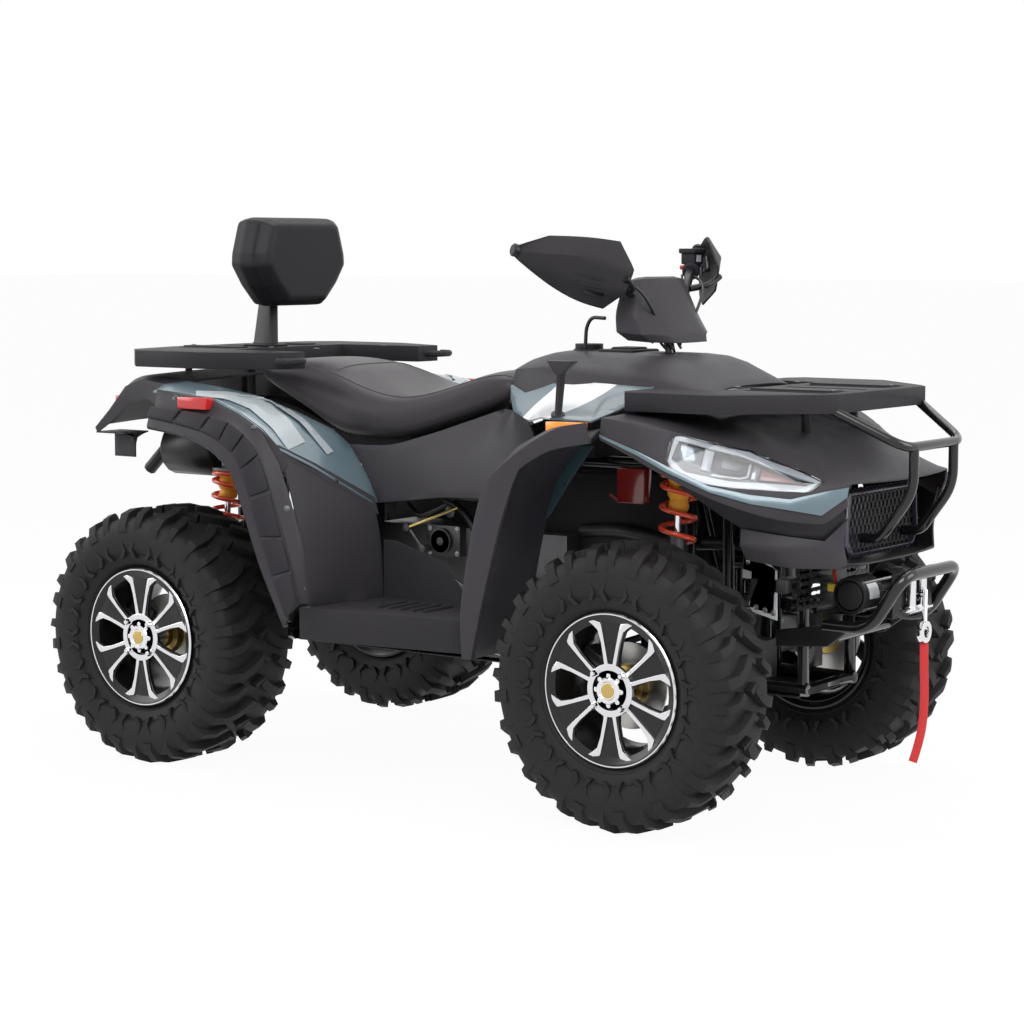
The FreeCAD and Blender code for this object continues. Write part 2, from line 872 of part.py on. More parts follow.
def exhaust():
    front = -muffler_x + muffler_length / 2
    rear = front - muffler_length
    y, z = -muffler_y, muffler_z
    can = rod((rear, y, z), (front, y, z), muffler_radius, round_sides)
    ends = [cone((rear - muffler_end, y, z),
            (rear, y, z), muffler_radius - muffler_end, muffler_radius, round_sides),
            cone((front, y, z), (front + muffler_end, y, z), muffler_radius, muffler_radius - muffler_end,
                 round_sides)]
    outlet = tube(bend([(rear, y, z), (rear - tail_pipe_length * 0.36, y, z),
                        (rear - tail_pipe_length, y, z - tail_pipe_drop)], tail_pipe_radius),
                            tail_pipe_radius)
    out = engine_half_width + pipe_radius + overrun
    high = muffler_z - muffler_radius + pipe_radius * 1.2
    low = engine_low_z + case_height + cylinder_height * 0.8
    middle = cylinder_x + cylinder_length / 2
    route = bend([(front, -pipe_y, high), (-middle_upright_rear, -pipe_y, high), (-engine_rear, -out, low),
                  (middle, -out, low), (middle, -cylinder_half_width - tyre_wall / 2 - seat_gap, low)],
                 pipe_radius * 2)
    return fuse([can] + ends + [outlet, tube(route, pipe_radius)])


def drivetrain():
    parts = []
    for axle, track in ((front_axle, front_track), (rear_axle, rear_track)):
        case = box(axle - diff_half_length, axle + diff_half_length, -diff_half_width, diff_half_width,
                   skid_top + seat_gap, tyre_radius + diff_half_height)
        end_y = track / 2 + kingpin_w - cup_reach - cup_gap
        shaft = rod((axle, 0, tyre_radius), (axle, end_y, tyre_radius), shaft_radius)
        boot = cone((axle, end_y - boot_length, tyre_radius),
            (axle, end_y, tyre_radius), boot_root, boot_radius)
        half = shaft.fuse(boot)
        near = -engine_rear - seat_gap if axle < 0 else engine_front + seat_gap
        prop = rod((near, 0, tyre_radius), (axle, 0, tyre_radius), prop_radius)
        parts.append(fuse([case, half, flip(half), prop]))
    return Part.makeCompound(parts)


def control_box():
    """The covered box between the front shock and the engine, on a plate under the upper rail."""
    rear, low = control_box_rear, control_box_z
    front, high = rear + control_box_length, low + control_box_height
    body = box(rear, front, control_box_y, control_box_y + control_box_depth, low, high)
    near = rail_y + flat(upper_rail_radius) + seat_gap
    arm = box(rear, front, near, control_box_y + control_plate, high - control_plate, high)
    return fuse([body, arm])


pieces["engine"] = Part.makeCompound([engine(), gear_linkage()])
pieces["exhaust"] = exhaust()
pieces["drivetrain"] = drivetrain()
pieces["control_box"] = flip(control_box())


# Suspension

pivot_y = rail_y + flat(rail_radius) + flat(bush_radius) + seat_gap


def wishbone(axle, joint_y, joint_z, pivot_z, spread):
    joint = pin if axle > 0 else rod
    parts = [joint((axle, joint_y, joint_z - joint_half_height),
             (axle, joint_y, joint_z + joint_half_height),
                   joint_radius)]
    for x in (axle - spread, axle + spread):
        parts.append(rod((x, pivot_y, pivot_z), (axle, joint_y, joint_z), arm_radius))
        parts.append(rod((x - bush_length / 2, pivot_y, pivot_z), (x + bush_length / 2, pivot_y, pivot_z),
                         bush_radius))
    return fuse(parts)


def arms(axle, track):
    joint_y = track / 2 + kingpin_w
    return [wishbone(axle, joint_y, lower_joint_z, lower_pivot_z, arm_half_spread),
            wishbone(axle, joint_y, upper_joint_z, upper_pivot_z, upper_arm_half_spread)]


def upright(axle, track, gap):
    """The casting that carries a wheel: shaft cup, stub bore, and brake caliper over the disc."""
    joint_y = track / 2 + kingpin_w
    outer = joint_y + upright_thickness / 2
    body = box(axle - upright_width / 2, axle + upright_width / 2, outer - upright_thickness, outer,
               lower_joint_z + joint_half_height + gap, upper_joint_z - joint_half_height - gap)
    cup = rod((axle, joint_y - cup_reach, tyre_radius), (axle, joint_y, tyre_radius), cup_radius)
    centre = track / 2
    half = caliper_height / 2
    low = disc_radius - caliper_length / 2
    grip = box(-half, half, centre - caliper_width / 2, centre + caliper_width / 2, low,
        low + caliper_length)
    slot = box(-caliper_height, caliper_height, centre - disc_thickness, centre + 2 * disc_thickness,
               0, disc_radius + run_gap)
    arm = box(-half, half, outer - caliper_neck, centre - caliper_width / 2, low, low + caliper_neck)
    neck = box(-half, half, outer - caliper_neck, outer, 0, low + caliper_neck)
    caliper = fuse([grip.cut(slot), arm, neck])
    caliper.rotate(Vec(0, 0, 0), Vec(0, 1, 0), -caliper_turn)
    caliper.translate(Vec(axle, 0, tyre_radius))
    bore = pin((axle, joint_y - cup_reach / 2, tyre_radius),
        (axle, track, tyre_radius), stub_radius + pin_gap)
    return fuse([body, cup, caliper]).cut(bore)


def knuckle():
    body = upright(front_axle, front_track, pin_gap)
    end_x, end_y = front_axle - steer_arm, kingpin_y - steer_arm_offset
    half = upright_thickness / 2
    near = front_axle - upright_width / 4
    arm = prism([(near, kingpin_y + half), (near, kingpin_y - half), (end_x, end_y - rod_end_radius),
                 (end_x - rod_end_radius, end_y), (end_x, end_y + rod_end_radius)],
                "z", steer_arm_z - steer_arm_thickness / 2, steer_arm_z + steer_arm_thickness / 2)
    return fuse([body, arm])


def tie_rod():
    x, y = front_axle - steer_arm, kingpin_y - steer_arm_offset
    top = steer_arm_z + steer_arm_thickness / 2 + pin_gap
    low_face = stem_low_z - pitman_thickness / 2 - rod_inner_gap
    inner = (x, rod_inner_y, low_face - rod_end_radius)
    eye = pin((x, y, top), (x, y, top + steer_arm_thickness), rod_end_radius)
    bar = rod((x, y, top + rod_radius), inner, rod_radius)
    end = rod((x, rod_inner_y, inner[2] - rod_end_radius), (x, rod_inner_y, low_face), rod_end_radius)
    return fuse([eye, bar, end])


def coil(start, way, length, radius, wire_half, turns):
    """A square-section coil about a line."""
    steps = turns * coil_sides
    across_x, across_y = Vec(1, 0, 0), way.cross(Vec(1, 0, 0)).normalize()
    rings = []
    for k in range(steps + 1):
        angle = 2 * math.pi * k / coil_sides
        out = across_x * math.cos(angle) + across_y * math.sin(angle)
        centre = start + way * (wire_half + (length - 2 * wire_half) * k / steps)
        rings.append([centre + out * (radius + a * wire_half) + way * (b * wire_half)
                      for a, b in ((-1, -1), (1, -1), (1, 1), (-1, 1))])
    return loft(rings)


def shock(axle, track, top_z):
    joint_y = track / 2 + kingpin_w
    along = (shock_low_y - pivot_y) / (joint_y - pivot_y)
    arm_z = upper_pivot_z + (upper_joint_z - upper_pivot_z) * along
    low_z = arm_z + arm_radius + shock_eye_radius + pin_gap
    high_z = top_z - flat(cross_radius) - flat(shock_eye_radius) - seat_gap
    low, high = Vec(axle, shock_low_y, low_z), Vec(axle, shock_top_y, high_z)
    length = (high - low).Length
    way = (high - low).normalize()
    half = shock_eye_length / 2
    parts = [rod((axle - half, p.y, p.z), (axle + half, p.y, p.z), shock_eye_radius) for p in (low, high)]
    seat_low, seat_high = low + way * (length * spring_low_share), low + way * (length * spring_high_share)
    seat_radius = spring_radius + spring_wire / 2
    parts.append(rod(low, low + way * (length * tube_end_share), shock_tube_radius))
    parts.append(rod(low, high, shock_rod_radius))
    parts.append(rod(seat_low - way * spring_seat, seat_low, seat_radius, round_sides))
    parts.append(rod(seat_high, seat_high + way * spring_seat, seat_radius, round_sides))
    spring = coil(seat_low + way * seat_gap, way, (seat_high - seat_low).Length - 2 * seat_gap,
        spring_radius,
                  spring_wire / 2, spring_turns)
    return fuse(parts), spring


dampers, coils = [], []
for axle, track, top in ((front_axle, front_track, tower_top_z), (rear_axle, rear_track, rear_top_z)):
    damper, spring = shock(axle, track, top)
    dampers += [damper, flip(damper)]
    coils += [spring, flip(spring)]
pieces["shocks"] = Part.makeCompound(dampers)
pieces["springs"] = Part.makeCompound(coils)
front_arms = arms(front_axle, front_track)
pieces["front_arms"] = Part.makeCompound(front_arms + [flip(a) for a in front_arms])
pieces["rear_arms"] = pair(fuse(arms(rear_axle, rear_track) + [upright(rear_axle, rear_track, 0)]))
both("knuckle", knuckle())
both("tie_rod", tie_rod())


# Steering: stem, handlebar with its controls, hand guards and pod

def stem():
    post = stem_line(stem_radius, stem_low_z - pitman_thickness / 2, stem_top_z)
    end = stem_low_x - pitman_length
    arm = prism([(stem_low_x + stem_radius, -stem_radius), (stem_low_x + stem_radius, stem_radius),
                 (end, rod_inner_y + rod_end_radius), (end - rod_end_radius, rod_inner_y),
                 (end - rod_end_radius, -rod_inner_y), (end, -rod_inner_y - rod_end_radius)],
                "z", stem_low_z - pitman_thickness / 2, stem_low_z + pitman_thickness / 2)
    clamp = box(bar_clamp_x - stem_radius, bar_clamp_x + stem_radius, -bar_middle_y / 2, bar_middle_y / 2,
                stem_top_z - stem_radius, bar_middle_z - flat(bar_radius) - seat_gap)
    brace = rod((bar_clamp_x, 0, stem_top_z - stem_radius / 2),
        (pod_rear + pod_length / 2, 0, stem_top_z - stem_radius / 2),
                pod_brace_radius)
    return fuse([post, arm, clamp, brace])


bar_points = [(bar_clamp_x, 0, bar_middle_z), (bar_clamp_x, bar_middle_y, bar_middle_z),
              (bar_bend_x, bar_bend_y, bar_bend_z), (bar_end_x, bar_end_y, bar_end_z)]


def bar_side(left):
    tube_half = tube([bar_points[0]] + bend(bar_points[1:], bar_radius * 3, 1), bar_radius)
    end, inner = Vec(*bar_points[-1]), Vec(*bar_points[-2])
    way = (inner - end).normalize()
    grip = rod(end, end + way * grip_length, grip_radius)
    switch = end + way * (grip_length + seat_gap)
    housing = rod(switch, switch + way * switch_length, switch_radius)
    root = switch + way * (switch_length / 2)
    tip = end + way * (grip_length / 4) + Vec(lever_reach, 0, 0)
    blade = tube([root, root + Vec(lever_reach, 0, 0), tip], lever_blade)
    parts = [tube_half, grip, housing, blade]
    if left:
        x, y, z = root
        parts.append(box(x - reservoir_half, x + reservoir_half, y - reservoir_half, y + reservoir_half, z,
                         z + switch_radius + reservoir_height))
    side_shape = fuse(parts)
    return side_shape if left else flip(side_shape)


def hand_guard():
    shares = [
        [(0.064, 0.981, 0.867), (0.309, 0.736, 0.988), (0.606, 0.385, 0.976), (0.819, 0.048, 0.91)],
        [(0.011, 1.0, 0.795), (0.457, 0.788, 0.747), (0.766, 0.413, 0.699), (0.995, 0.005, 0.53)],
        [(0.021, 0.99, 0.711), (0.415, 0.75, 0.494), (0.691, 0.385, 0.229), (0.915, 0.067, 0.229)],
        [(0.053, 0.952, 0.663), (0.255, 0.692, 0.349), (0.457, 0.385, 0.108), (0.66, 0.163, 0.018)]]
    rows = placed(shares, hand_guard_rear, hand_guard_length, 1.0, hand_guard_low, hand_guard_height)
    rows = [[(x, hand_guard_inner + hand_guard_width * y, z) for x, y, z in row] for row in rows]
    end = Vec(*bar_points[-1])
    out = (end - Vec(*bar_points[-2])).normalize()
    return fuse([skin(rows, guard_wall), rod(end + out * seat_gap, end + out * guard_arm_length,
                 guard_arm_radius)])


def pod():
    shares = [
        [(0.1, 0.461, 0.988), (0.25, 0.395, 1.0), (0.317, 0.197, 1.0), (0.333, 0.0, 1.0)],
        [(0.017, 0.737, 0.929), (0.267, 0.645, 0.964), (0.417, 0.316, 0.976), (0.433, 0.0, 0.976)],
        [(0.0, 0.961, 0.512), (0.4, 0.908, 0.464), (0.733, 0.434, 0.44), (0.75, 0.0, 0.44)],
        [(0.067, 1.0, 0.25), (0.6, 0.947, 0.214), (0.933, 0.474, 0.226), (0.95, 0.0, 0.226)],
        [(0.2, 0.842, 0.131), (0.65, 0.776, 0.107), (0.983, 0.434, 0.095), (1.0, 0.0, 0.095)]]
    rows = across(placed(shares, pod_rear, pod_length, pod_half, pod_low_z, pod_height))
    shell = skin(rows, -panel_wall)
    opening = tube([bar_points[0]] + bend(bar_points[1:], bar_radius * 3, 1), bar_radius + pin_gap)
    return shell.cut([opening, flip(opening)])


pieces["steering_stem"] = stem()
pieces["handlebar"] = fuse([bar_side(True), bar_side(False)])
pieces["hand_guards"] = pair(hand_guard())
pieces["handlebar_pod"] = pod()


# Racks, brush guard, bumper and winch

tail_leg_low = tail_rail_z + flat(upper_rail_radius) + seat_gap
front_leg_low = tower_top_z + flat(rail_radius) + seat_gap
front_legs = [(front_axle, front_leg_y, front_leg_low), (nose_post_x, rail_y, front_leg_low)]
rear_legs = [(-tail_bend_x - overrun, rail_y, tail_leg_low),
             (-tail_rail_rear + 2 * rail_radius, rail_y, tail_leg_low)]


def rack(outline, top_z, legs, slots):
    """A flat deck with a skirt, open below, on round legs; the outline is its left half."""
    whole = outline + [(x, -y) for x, y in reversed(outline)]
    edge = wire([(x, y, top_z) for x, y in whole])
    inner = Part.Face(edge).makeOffset2D(-rack_plate, 2)
    deck = Part.Face(edge).extrude(Vec(0, 0, -rack_skirt))
    hollow = inner.extrude(Vec(0, 0, -rack_skirt))
    hollow.translate(Vec(0, 0, -rack_plate))
    low, high = slots
    cuts = [hollow]
    for i in range(slot_count):
        y = slot_pitch * (i - (slot_count - 1) / 2)
        cuts.append(box(low, high, y - slot_width / 2, y + slot_width / 2, top_z - 2 * rack_plate,
            top_z + overrun))
    parts = [deck.cut(cuts)]
    for y in (rack_rib_y, -rack_rib_y):
        parts.append(box(low, high, y - rack_rib_width / 2, y + rack_rib_width / 2, top_z - rack_plate,
                         top_z + rack_rib))
    for x, leg_y, leg_low in legs:
        parts += [rod((x, y, leg_low),
                  (x, y, top_z - rack_plate / 2), rack_leg_radius) for y in (leg_y, -leg_y)]
    return fuse(parts)


def guard_hoop(radius):
    hoop = bend([(guard_root_x, guard_root_y, guard_root_z), (guard_front, guard_half, guard_top_z),
                 (guard_front, -guard_half, guard_top_z), (guard_root_x, -guard_root_y, guard_root_z)],
                guard_radius * 3)
    return tube(hoop, radius)


def front_rack():
    length = front_rack_front - front_rack_rear
    outline = [(front_rack_rear + length * a, front_rack_half * b) for a, b in front_rack_shares]
    slots = (outline[0][0] + slot_inset, front_rack_front - slot_inset)
    return rack(outline, front_rack_top, front_legs, slots).cut(guard_hoop(guard_radius + seat_gap))


def rear_rack():
    length = rear_rack_rear - rear_rack_front
    outline = [(-rear_rack_front - length * a, rear_rack_half * b) for a, b in rear_rack_shares]
    slots = (slot_inset - rear_rack_rear, outline[0][0] - slot_inset)
    shell = rack(outline, rear_rack_top, rear_legs, slots)
    under = rear_rack_top - rack_skirt / 2
    front = -rear_rack_front
    handle = bend([(front - rack_plate / 2, grab_y, under), (front + grab_length / 2, grab_y, under),
                   (front + grab_length / 2, grab_y - grab_length, under),
                   (front - rack_plate / 2, grab_y - grab_length, under)], grab_radius * 2)
    grab = tube(handle, grab_radius)
    return fuse([shell, grab, flip(grab)])


def brush_guard():
    parts = [guard_hoop(guard_radius)]
    for y in (guard_drop_y, -guard_drop_y):
        drop = bend([(guard_front, y, guard_top_z), (guard_front, y, guard_drop_z),
                     (guard_foot_x, y, guard_foot_z),
                     (grille_x + grille_thickness + seat_gap, y, guard_foot_z)], guard_radius * 3)
        parts.append(tube(drop, guard_radius))
    return fuse(parts)


def front_bumper():
    hoop = bend([(bumper_root_x, bumper_half, bumper_root_z), (bumper_bend_x, bumper_half, bumper_root_z),
                 (bumper_front, bumper_half, bumper_top_z), (bumper_front, -bumper_half, bumper_top_z),
                 (bumper_bend_x, -bumper_half, bumper_root_z),
                 (bumper_root_x, -bumper_half, bumper_root_z)], bumper_radius * 2)
    plate_shares = [(0.0, 0.0), (0.75, 0.16), (1.0, 0.66), (1.0, 1.0), (0.0, 0.56)]
    near = rail_y + flat(post_radius) + seat_gap
    outline = [(bumper_plate_rear + bumper_plate_length * a, bumper_plate_low_z + bumper_plate_height * b)
               for a, b in plate_shares]
    plate = prism(outline, "y", near, near + bumper_plate)
    cross_x = bumper_plate_rear + bumper_plate_length * 0.8
    beam_z = bumper_plate_low_z + bumper_plate_height / 2
    beam = rod((cross_x, 0, beam_z), (cross_x, near + bumper_plate / 2, beam_z), bumper_radius)
    return fuse([tube(hoop, bumper_radius), plate, flip(plate), fuse([beam, flip(beam)])])


def front_plate():
    """The perforated plate in front of the nose posts."""
    rear = nose_post_x + flat(post_radius) + seat_gap
    plate = box(rear, rear + front_plate_thickness, -front_plate_half, front_plate_half, front_plate_low_z,
                front_plate_low_z + front_plate_height)
    cuts = []
    for i in range(5):
        z = front_plate_low_z + front_plate_height * (i + 0.7) / 5.6
        for y0, y1 in ((0.36, 0.62), (0.68, 0.94)):
            for sign in (1, -1):
                ends = sorted((sign * y0 * front_plate_half, sign * y1 * front_plate_half))
                cuts.append(box(rear - overrun, rear + overrun, ends[0], ends[1], z,
                    z + front_plate_height / 12))
    return plate.cut(cuts)


def winch():
    motor = rod((winch_x, -winch_half, winch_z), (winch_x, -drum_half, winch_z), winch_radius, round_sides)
    gear = rod((winch_x, drum_half, winch_z), (winch_x, winch_half, winch_z), winch_radius, round_sides)
    drum = rod((winch_x, -drum_half - winch_plate, winch_z),
        (winch_x, drum_half + winch_plate, winch_z), drum_radius,
               round_sides)
    base_z = winch_z - winch_radius
    near = bumper_plate_low_z + bumper_plate_height / 2 + flat(bumper_radius) + seat_gap
    base = box(winch_x - 2 * winch_foot, fairlead_x, -winch_plate_half, winch_plate_half,
        base_z - winch_plate, base_z)
    front = box(fairlead_x, fairlead_x + winch_plate, -winch_plate_half, winch_plate_half,
        base_z - winch_plate,
                base_z + fairlead_height)
    window = box(fairlead_x - overrun, fairlead_x + overrun, -fairlead_half / 2, fairlead_half / 2,
                 base_z + fairlead_window, base_z + fairlead_height - fairlead_window)
    parts = [motor, gear, drum, base, front.cut(window)]
    for y0, y1 in ((drum_half, drum_half + winch_foot),
        (winch_half - winch_foot, winch_half - winch_foot / 2)):
        for sign in (1, -1):
            ends = sorted((sign * y0, sign * y1))
            if ends[1] <= winch_plate_half and -ends[0] <= winch_plate_half:
                parts.append(box(winch_x - winch_foot, winch_x + winch_foot, ends[0], ends[1],
                    base_z - winch_plate / 2,
                                 winch_z - winch_radius / 2))
    leg_y = bumper_half - bumper_radius - seat_gap
    leg = box(winch_x - 2 * winch_foot, winch_x - winch_foot, leg_y - bumper_plate, leg_y, near, base_z)
    shelf = box(winch_x - 2 * winch_foot, winch_x - winch_foot, winch_plate_half - winch_plate, leg_y,
                base_z - winch_plate, base_z)
    return fuse(parts + [leg, shelf, flip(leg), flip(shelf)])


def fairlead():
    x = fairlead_x + winch_plate + roller_radius + seat_gap
    low = winch_z - winch_radius + overrun / 2
    high = winch_z - winch_radius + fairlead_height - overrun / 2
    parts = [rod((x, y, low), (x, y, high), roller_radius) for y in (roller_half, -roller_half)]
    for z in (low, high):
        parts.append(box(x - roller_radius, x + roller_radius, -fairlead_half, fairlead_half,
            z - winch_plate / 2,
                         z + winch_plate / 2))
    return fuse(parts)


def hook():
    middle = hook_z - hook_radius
    loop = []
    for i in range(hook_sides):
        a = 2 * math.pi * i / hook_sides
        loop.append((hook_radius * math.sin(a), hook_radius * math.cos(a)))
    outer = [((1 + hook_wire / hook_radius) * y, middle + (1 + hook_wire / hook_radius) * z) for y,
             z in loop]
    inner = [((1 - hook_wire / hook_radius) * y, middle + (1 - hook_wire / hook_radius) * z) for y,
             z in loop]
    loop_part = prism(outer, "x", hook_x - hook_wire, hook_x + hook_wire)
    loop_part = loop_part.cut(prism(inner, "x", hook_x - overrun, hook_x + overrun))
    shank = rod((hook_x, 0, hook_z), (hook_x, 0, winch_z + 2 * hook_wire), hook_wire)
    start = winch_x + drum_radius * math.cos(math.pi / round_sides) + seat_gap
    eye = rod((start, 0, winch_z), (hook_x, 0, winch_z), hook_wire)
    return fuse([loop_part, shank, eye])


pieces["front_rack"] = front_rack()
pieces["rear_rack"] = rear_rack()
pieces["brush_guard"] = brush_guard()
pieces["front_bumper"] = front_bumper()
pieces["front_plate"] = front_plate()
pieces["winch"] = winch()
pieces["fairlead"] = fairlead()
pieces["winch_hook"] = hook()


# Bodywork

nose_shares = [
    [(0.0, 0.996, 0.759), (0.0, 0.998, 0.784), (0.0, 0.998, 0.808), (0.0, 0.984, 0.951),
     (0.0, 0.673, 0.984), (0.0, 0.0, 0.992)],
    [(0.159, 0.959, 0.6), (0.175, 0.963, 0.629), (0.179, 0.961, 0.665), (0.171, 0.943, 0.91),
     (0.171, 0.653, 0.955), (0.171, 0.0, 0.971)],
    [(0.291, 0.914, 0.433), (0.291, 0.922, 0.49), (0.291, 0.914, 0.543), (0.287, 0.873, 0.849),
     (0.287, 0.612, 0.927), (0.287, 0.0, 0.947)],
    [(0.466, 0.833, 0.257), (0.458, 0.841, 0.318), (0.45, 0.833, 0.376), (0.446, 0.767, 0.731),
     (0.446, 0.551, 0.857), (0.446, 0.0, 0.89)],
    [(0.616, 0.739, 0.131), (0.608, 0.747, 0.22), (0.598, 0.739, 0.302), (0.606, 0.665, 0.588),
     (0.606, 0.48, 0.755), (0.606, 0.0, 0.808)],
    [(0.745, 0.649, 0.057), (0.745, 0.663, 0.171), (0.747, 0.649, 0.265), (0.751, 0.596, 0.408),
     (0.755, 0.418, 0.596), (0.755, 0.0, 0.673)],
    [(0.861, 0.547, 0.041), (0.857, 0.576, 0.122), (0.869, 0.547, 0.335), (0.869, 0.535, 0.384),
     (0.873, 0.378, 0.473), (0.888, 0.0, 0.531)],
    [(0.924, 0.461, 0.188), (0.932, 0.486, 0.278), (0.938, 0.482, 0.367), (0.944, 0.469, 0.4),
     (0.972, 0.347, 0.4), (1.0, 0.0, 0.384)]]
lamp_shares = [(0.291, 0.833), (0.275, 0.592), (0.339, 0.441), (0.514, 0.355), (0.681, 0.335),
               (0.805, 0.318), (0.849, 0.408), (0.765, 0.473), (0.546, 0.678)]


def nose():
    rows = across(placed(nose_shares, nose_rear, nose_length, nose_half, nose_base_z, nose_height))
    shell = skin(rows, -panel_wall)
    outline = [(nose_rear + nose_length * x, nose_base_z + nose_height * z) for x, z in lamp_shares]
    start = nose_half * lamp_reach_share
    window = prism(outline, "y", start, nose_half + overrun)
    inset = Part.Face(wire([(x, start, z) for x, z in outline])).makeOffset2D(-seat_gap, 2)
    lamp = skin(rows, -lamp_depth).common(inset.extrude(Vec(0, nose_half, 0)))
    cuts = [window, flip(window)]
    for x, y, low in front_legs:
        cuts += [rod((x, s, low), (x, s, front_rack_top), rack_leg_radius + run_gap / 6) for s in (y, -y)]
    return shell.cut(cuts), lamp


def tank_rows():
    shares = [
        [(0.0, 0.772, 0.016), (0.014, 0.707, 0.656), (0.031, 0.4, 0.864), (0.034, 0.0, 0.88)],
        [(0.119, 0.902, 0.2), (0.121, 0.8, 0.72), (0.121, 0.372, 1.0), (0.121, 0.0, 1.016)],
        [(0.428, 1.0, 0.36), (0.429, 0.884, 0.672), (0.429, 0.488, 1.0), (0.429, 0.0, 1.016)],
        [(0.772, 1.019, 0.416), (0.779, 0.921, 0.6), (0.781, 0.558, 0.976), (0.781, 0.0, 0.992)],
        [(0.993, 0.921, 0.176), (0.997, 0.842, 0.336), (1.0, 0.6, 0.456), (1.003, 0.0, 0.48)]]
    return across(placed(shares, tank_rear, tank_length, tank_half, tank_base_z, tank_height))


def tank_cover():
    shell = skin(tank_rows(), -panel_wall)
    top = tank_base_z + tank_height
    cap = rod((cap_x, 0, top - panel_wall / 2), (cap_x, 0, top + cap_height), cap_radius, round_sides)
    return fuse([shell, cap]).cut(stem_line(stem_radius + run_gap, tank_base_z, top + overrun))


def fuel_tank():
    """One plain block on the upper rails, up to just below its cover."""
    low = upper_rail_z + flat(upper_rail_radius) + seat_gap
    block = box(fuel_rear, fuel_rear + fuel_length, -fuel_half, fuel_half, low, tank_base_z + tank_height)
    block = block.cut(skin(tank_rows(), -(panel_wall + seat_gap)))
    return min(block.Solids, key=lambda s: s.CenterOfMass.z)


def tail():
    """The rear cover with its side arches, and the plate holder below it."""
    shares = [
        [(-0.056, 1.227, 0.494), (-0.056, 1.236, 0.861), (-0.056, 1.152, 0.949), (-0.056, 0.606, 1.0),
         (-0.056, 0.0, 1.013)],
        [(0.256, 1.115, 0.481), (0.256, 1.127, 0.886), (0.269, 1.045, 0.975), (0.269, 0.545, 1.013),
         (0.269, 0.0, 1.025)],
        [(0.436, 1.045, 0.608), (0.474, 1.061, 0.924), (0.5, 0.97, 1.0), (0.5, 0.515, 1.038),
         (0.5, 0.0, 1.051)],
        [(0.615, 1.0, 0.519), (0.654, 1.012, 0.791), (0.662, 0.909, 0.911), (0.662, 0.485, 0.962),
         (0.662, 0.0, 0.975)],
        [(0.795, 0.985, 0.215), (0.821, 0.994, 0.392), (0.833, 0.879, 0.494), (0.833, 0.455, 0.544),
         (0.833, 0.0, 0.557)],
        [(0.949, 0.976, 0.0), (0.964, 0.982, 0.089), (0.974, 0.848, 0.139), (0.985, 0.455, 0.177),
         (0.99, 0.0, 0.19)]]
    rows = across(placed(shares, -tail_front, -tail_length, tail_half, tail_base_z, tail_height))
    shell = skin(rows, panel_wall)
    cuts = []
    for x, y, low in rear_legs:
        cuts += [rod((x, s, low), (x, s, rear_rack_top), rack_leg_radius + run_gap / 6) for s in (y, -y)]
    return shell.cut(cuts), rows


def lamp_bracket():
    """The bare bracket below the tail's rear corner."""
    rear = -holder_rear
    shelf = box(rear, rear + holder_length, holder_y - holder_width, holder_y, holder_top_z,
        holder_top_z + panel_wall)
    middle = holder_y - holder_width / 2
    plate = box(rear + holder_length / 4, rear + holder_length, middle, middle + panel_wall, holder_low_z,
                holder_top_z + panel_wall)
    return fuse([shelf, plate])


def front_fender_rows():
    lip_shares = [(-1.184, 1.102), (-1.115, 1.414), (-0.967, 1.969), (-0.876, 2.252), (-0.769, 2.488),
                  (-0.51, 2.639), (-0.183, 2.693)]
    lip = [(front_axle + tyre_radius * x, tyre_radius * z) for x, z in lip_shares]
    inner_shares = [(-1.206, 1.102), (-1.181, 1.414), (-1.055, 2.016), (-0.954, 2.337), (-0.74, 2.602),
                    (-0.457, 2.746), (-0.183, 2.784)]
    inner = [(front_axle + tyre_radius * x, tyre_radius * z) for x, z in inner_shares]
    rows = []
    for (x, z), (u, w) in zip(lip, inner):
        deep = (u - x) / 2, (w - z) * 0.78
        rows.append([(u, front_arch_inner, w),
                     (x + deep[0], front_arch_outer - 2 * flare_width, z + deep[1]),
                     (x, front_arch_outer, z),
                         (u - (x - u), front_arch_outer + panel_wall, w + (w - z) / 4),
                     (u - flare_width, front_arch_outer - flare_width, w + panel_wall)])
    return rows


fender_edge_shares = [(0.091, 2.898), (0.362, 2.879), (0.677, 2.841), (0.929, 2.753), (1.15, 2.639),
                      (1.32, 2.409), (1.439, 2.123), (1.546, 1.811), (1.613, 1.383)]
fender_pad_shares = [(0.129, 2.784), (0.491, 2.765), (0.803, 2.728), (0.976, 2.674), (1.15, 2.545),
                     (1.276, 2.324), (1.408, 1.934), (1.509, 1.654), (1.584, 1.389)]
fender_bead_shares = [(0.164, 2.715), (0.469, 2.674), (0.772, 2.614), (0.951, 2.529), (1.071, 2.425),
                      (1.162, 2.243), (1.269, 1.931), (1.398, 1.613), (1.54, 1.285)]
fender_lip_shares = [(0.17, 2.643), (0.491, 2.602), (0.775, 2.52), (0.945, 2.413), (1.039, 2.315),
                     (1.099, 2.173), (1.184, 1.953), (1.31, 1.644), (1.528, 1.225)]


def rear_fender_rows():
    lines = []
    for shares in (fender_edge_shares, fender_pad_shares, fender_bead_shares, fender_lip_shares):
        lines.append([(rear_axle + tyre_radius * x, tyre_radius * z) for x, z in shares])
    rows = []
    low, high = rear_arch_inner, rear_arch_outer
    for edge, pad, bead, lip in zip(*lines):
        rows.append([(edge[0], low, edge[1]), (pad[0], low + (high - low) * 0.35, pad[1]),
                     (pad[0], low + (high - low) * 0.35 + pad_height, pad[1] - panel_wall),
                     (bead[0], high - pad_height / 2, bead[1] + panel_wall),
                           (bead[0], high - pad_height, bead[1]),
                     (lip[0], high, lip[1])])
    return rows


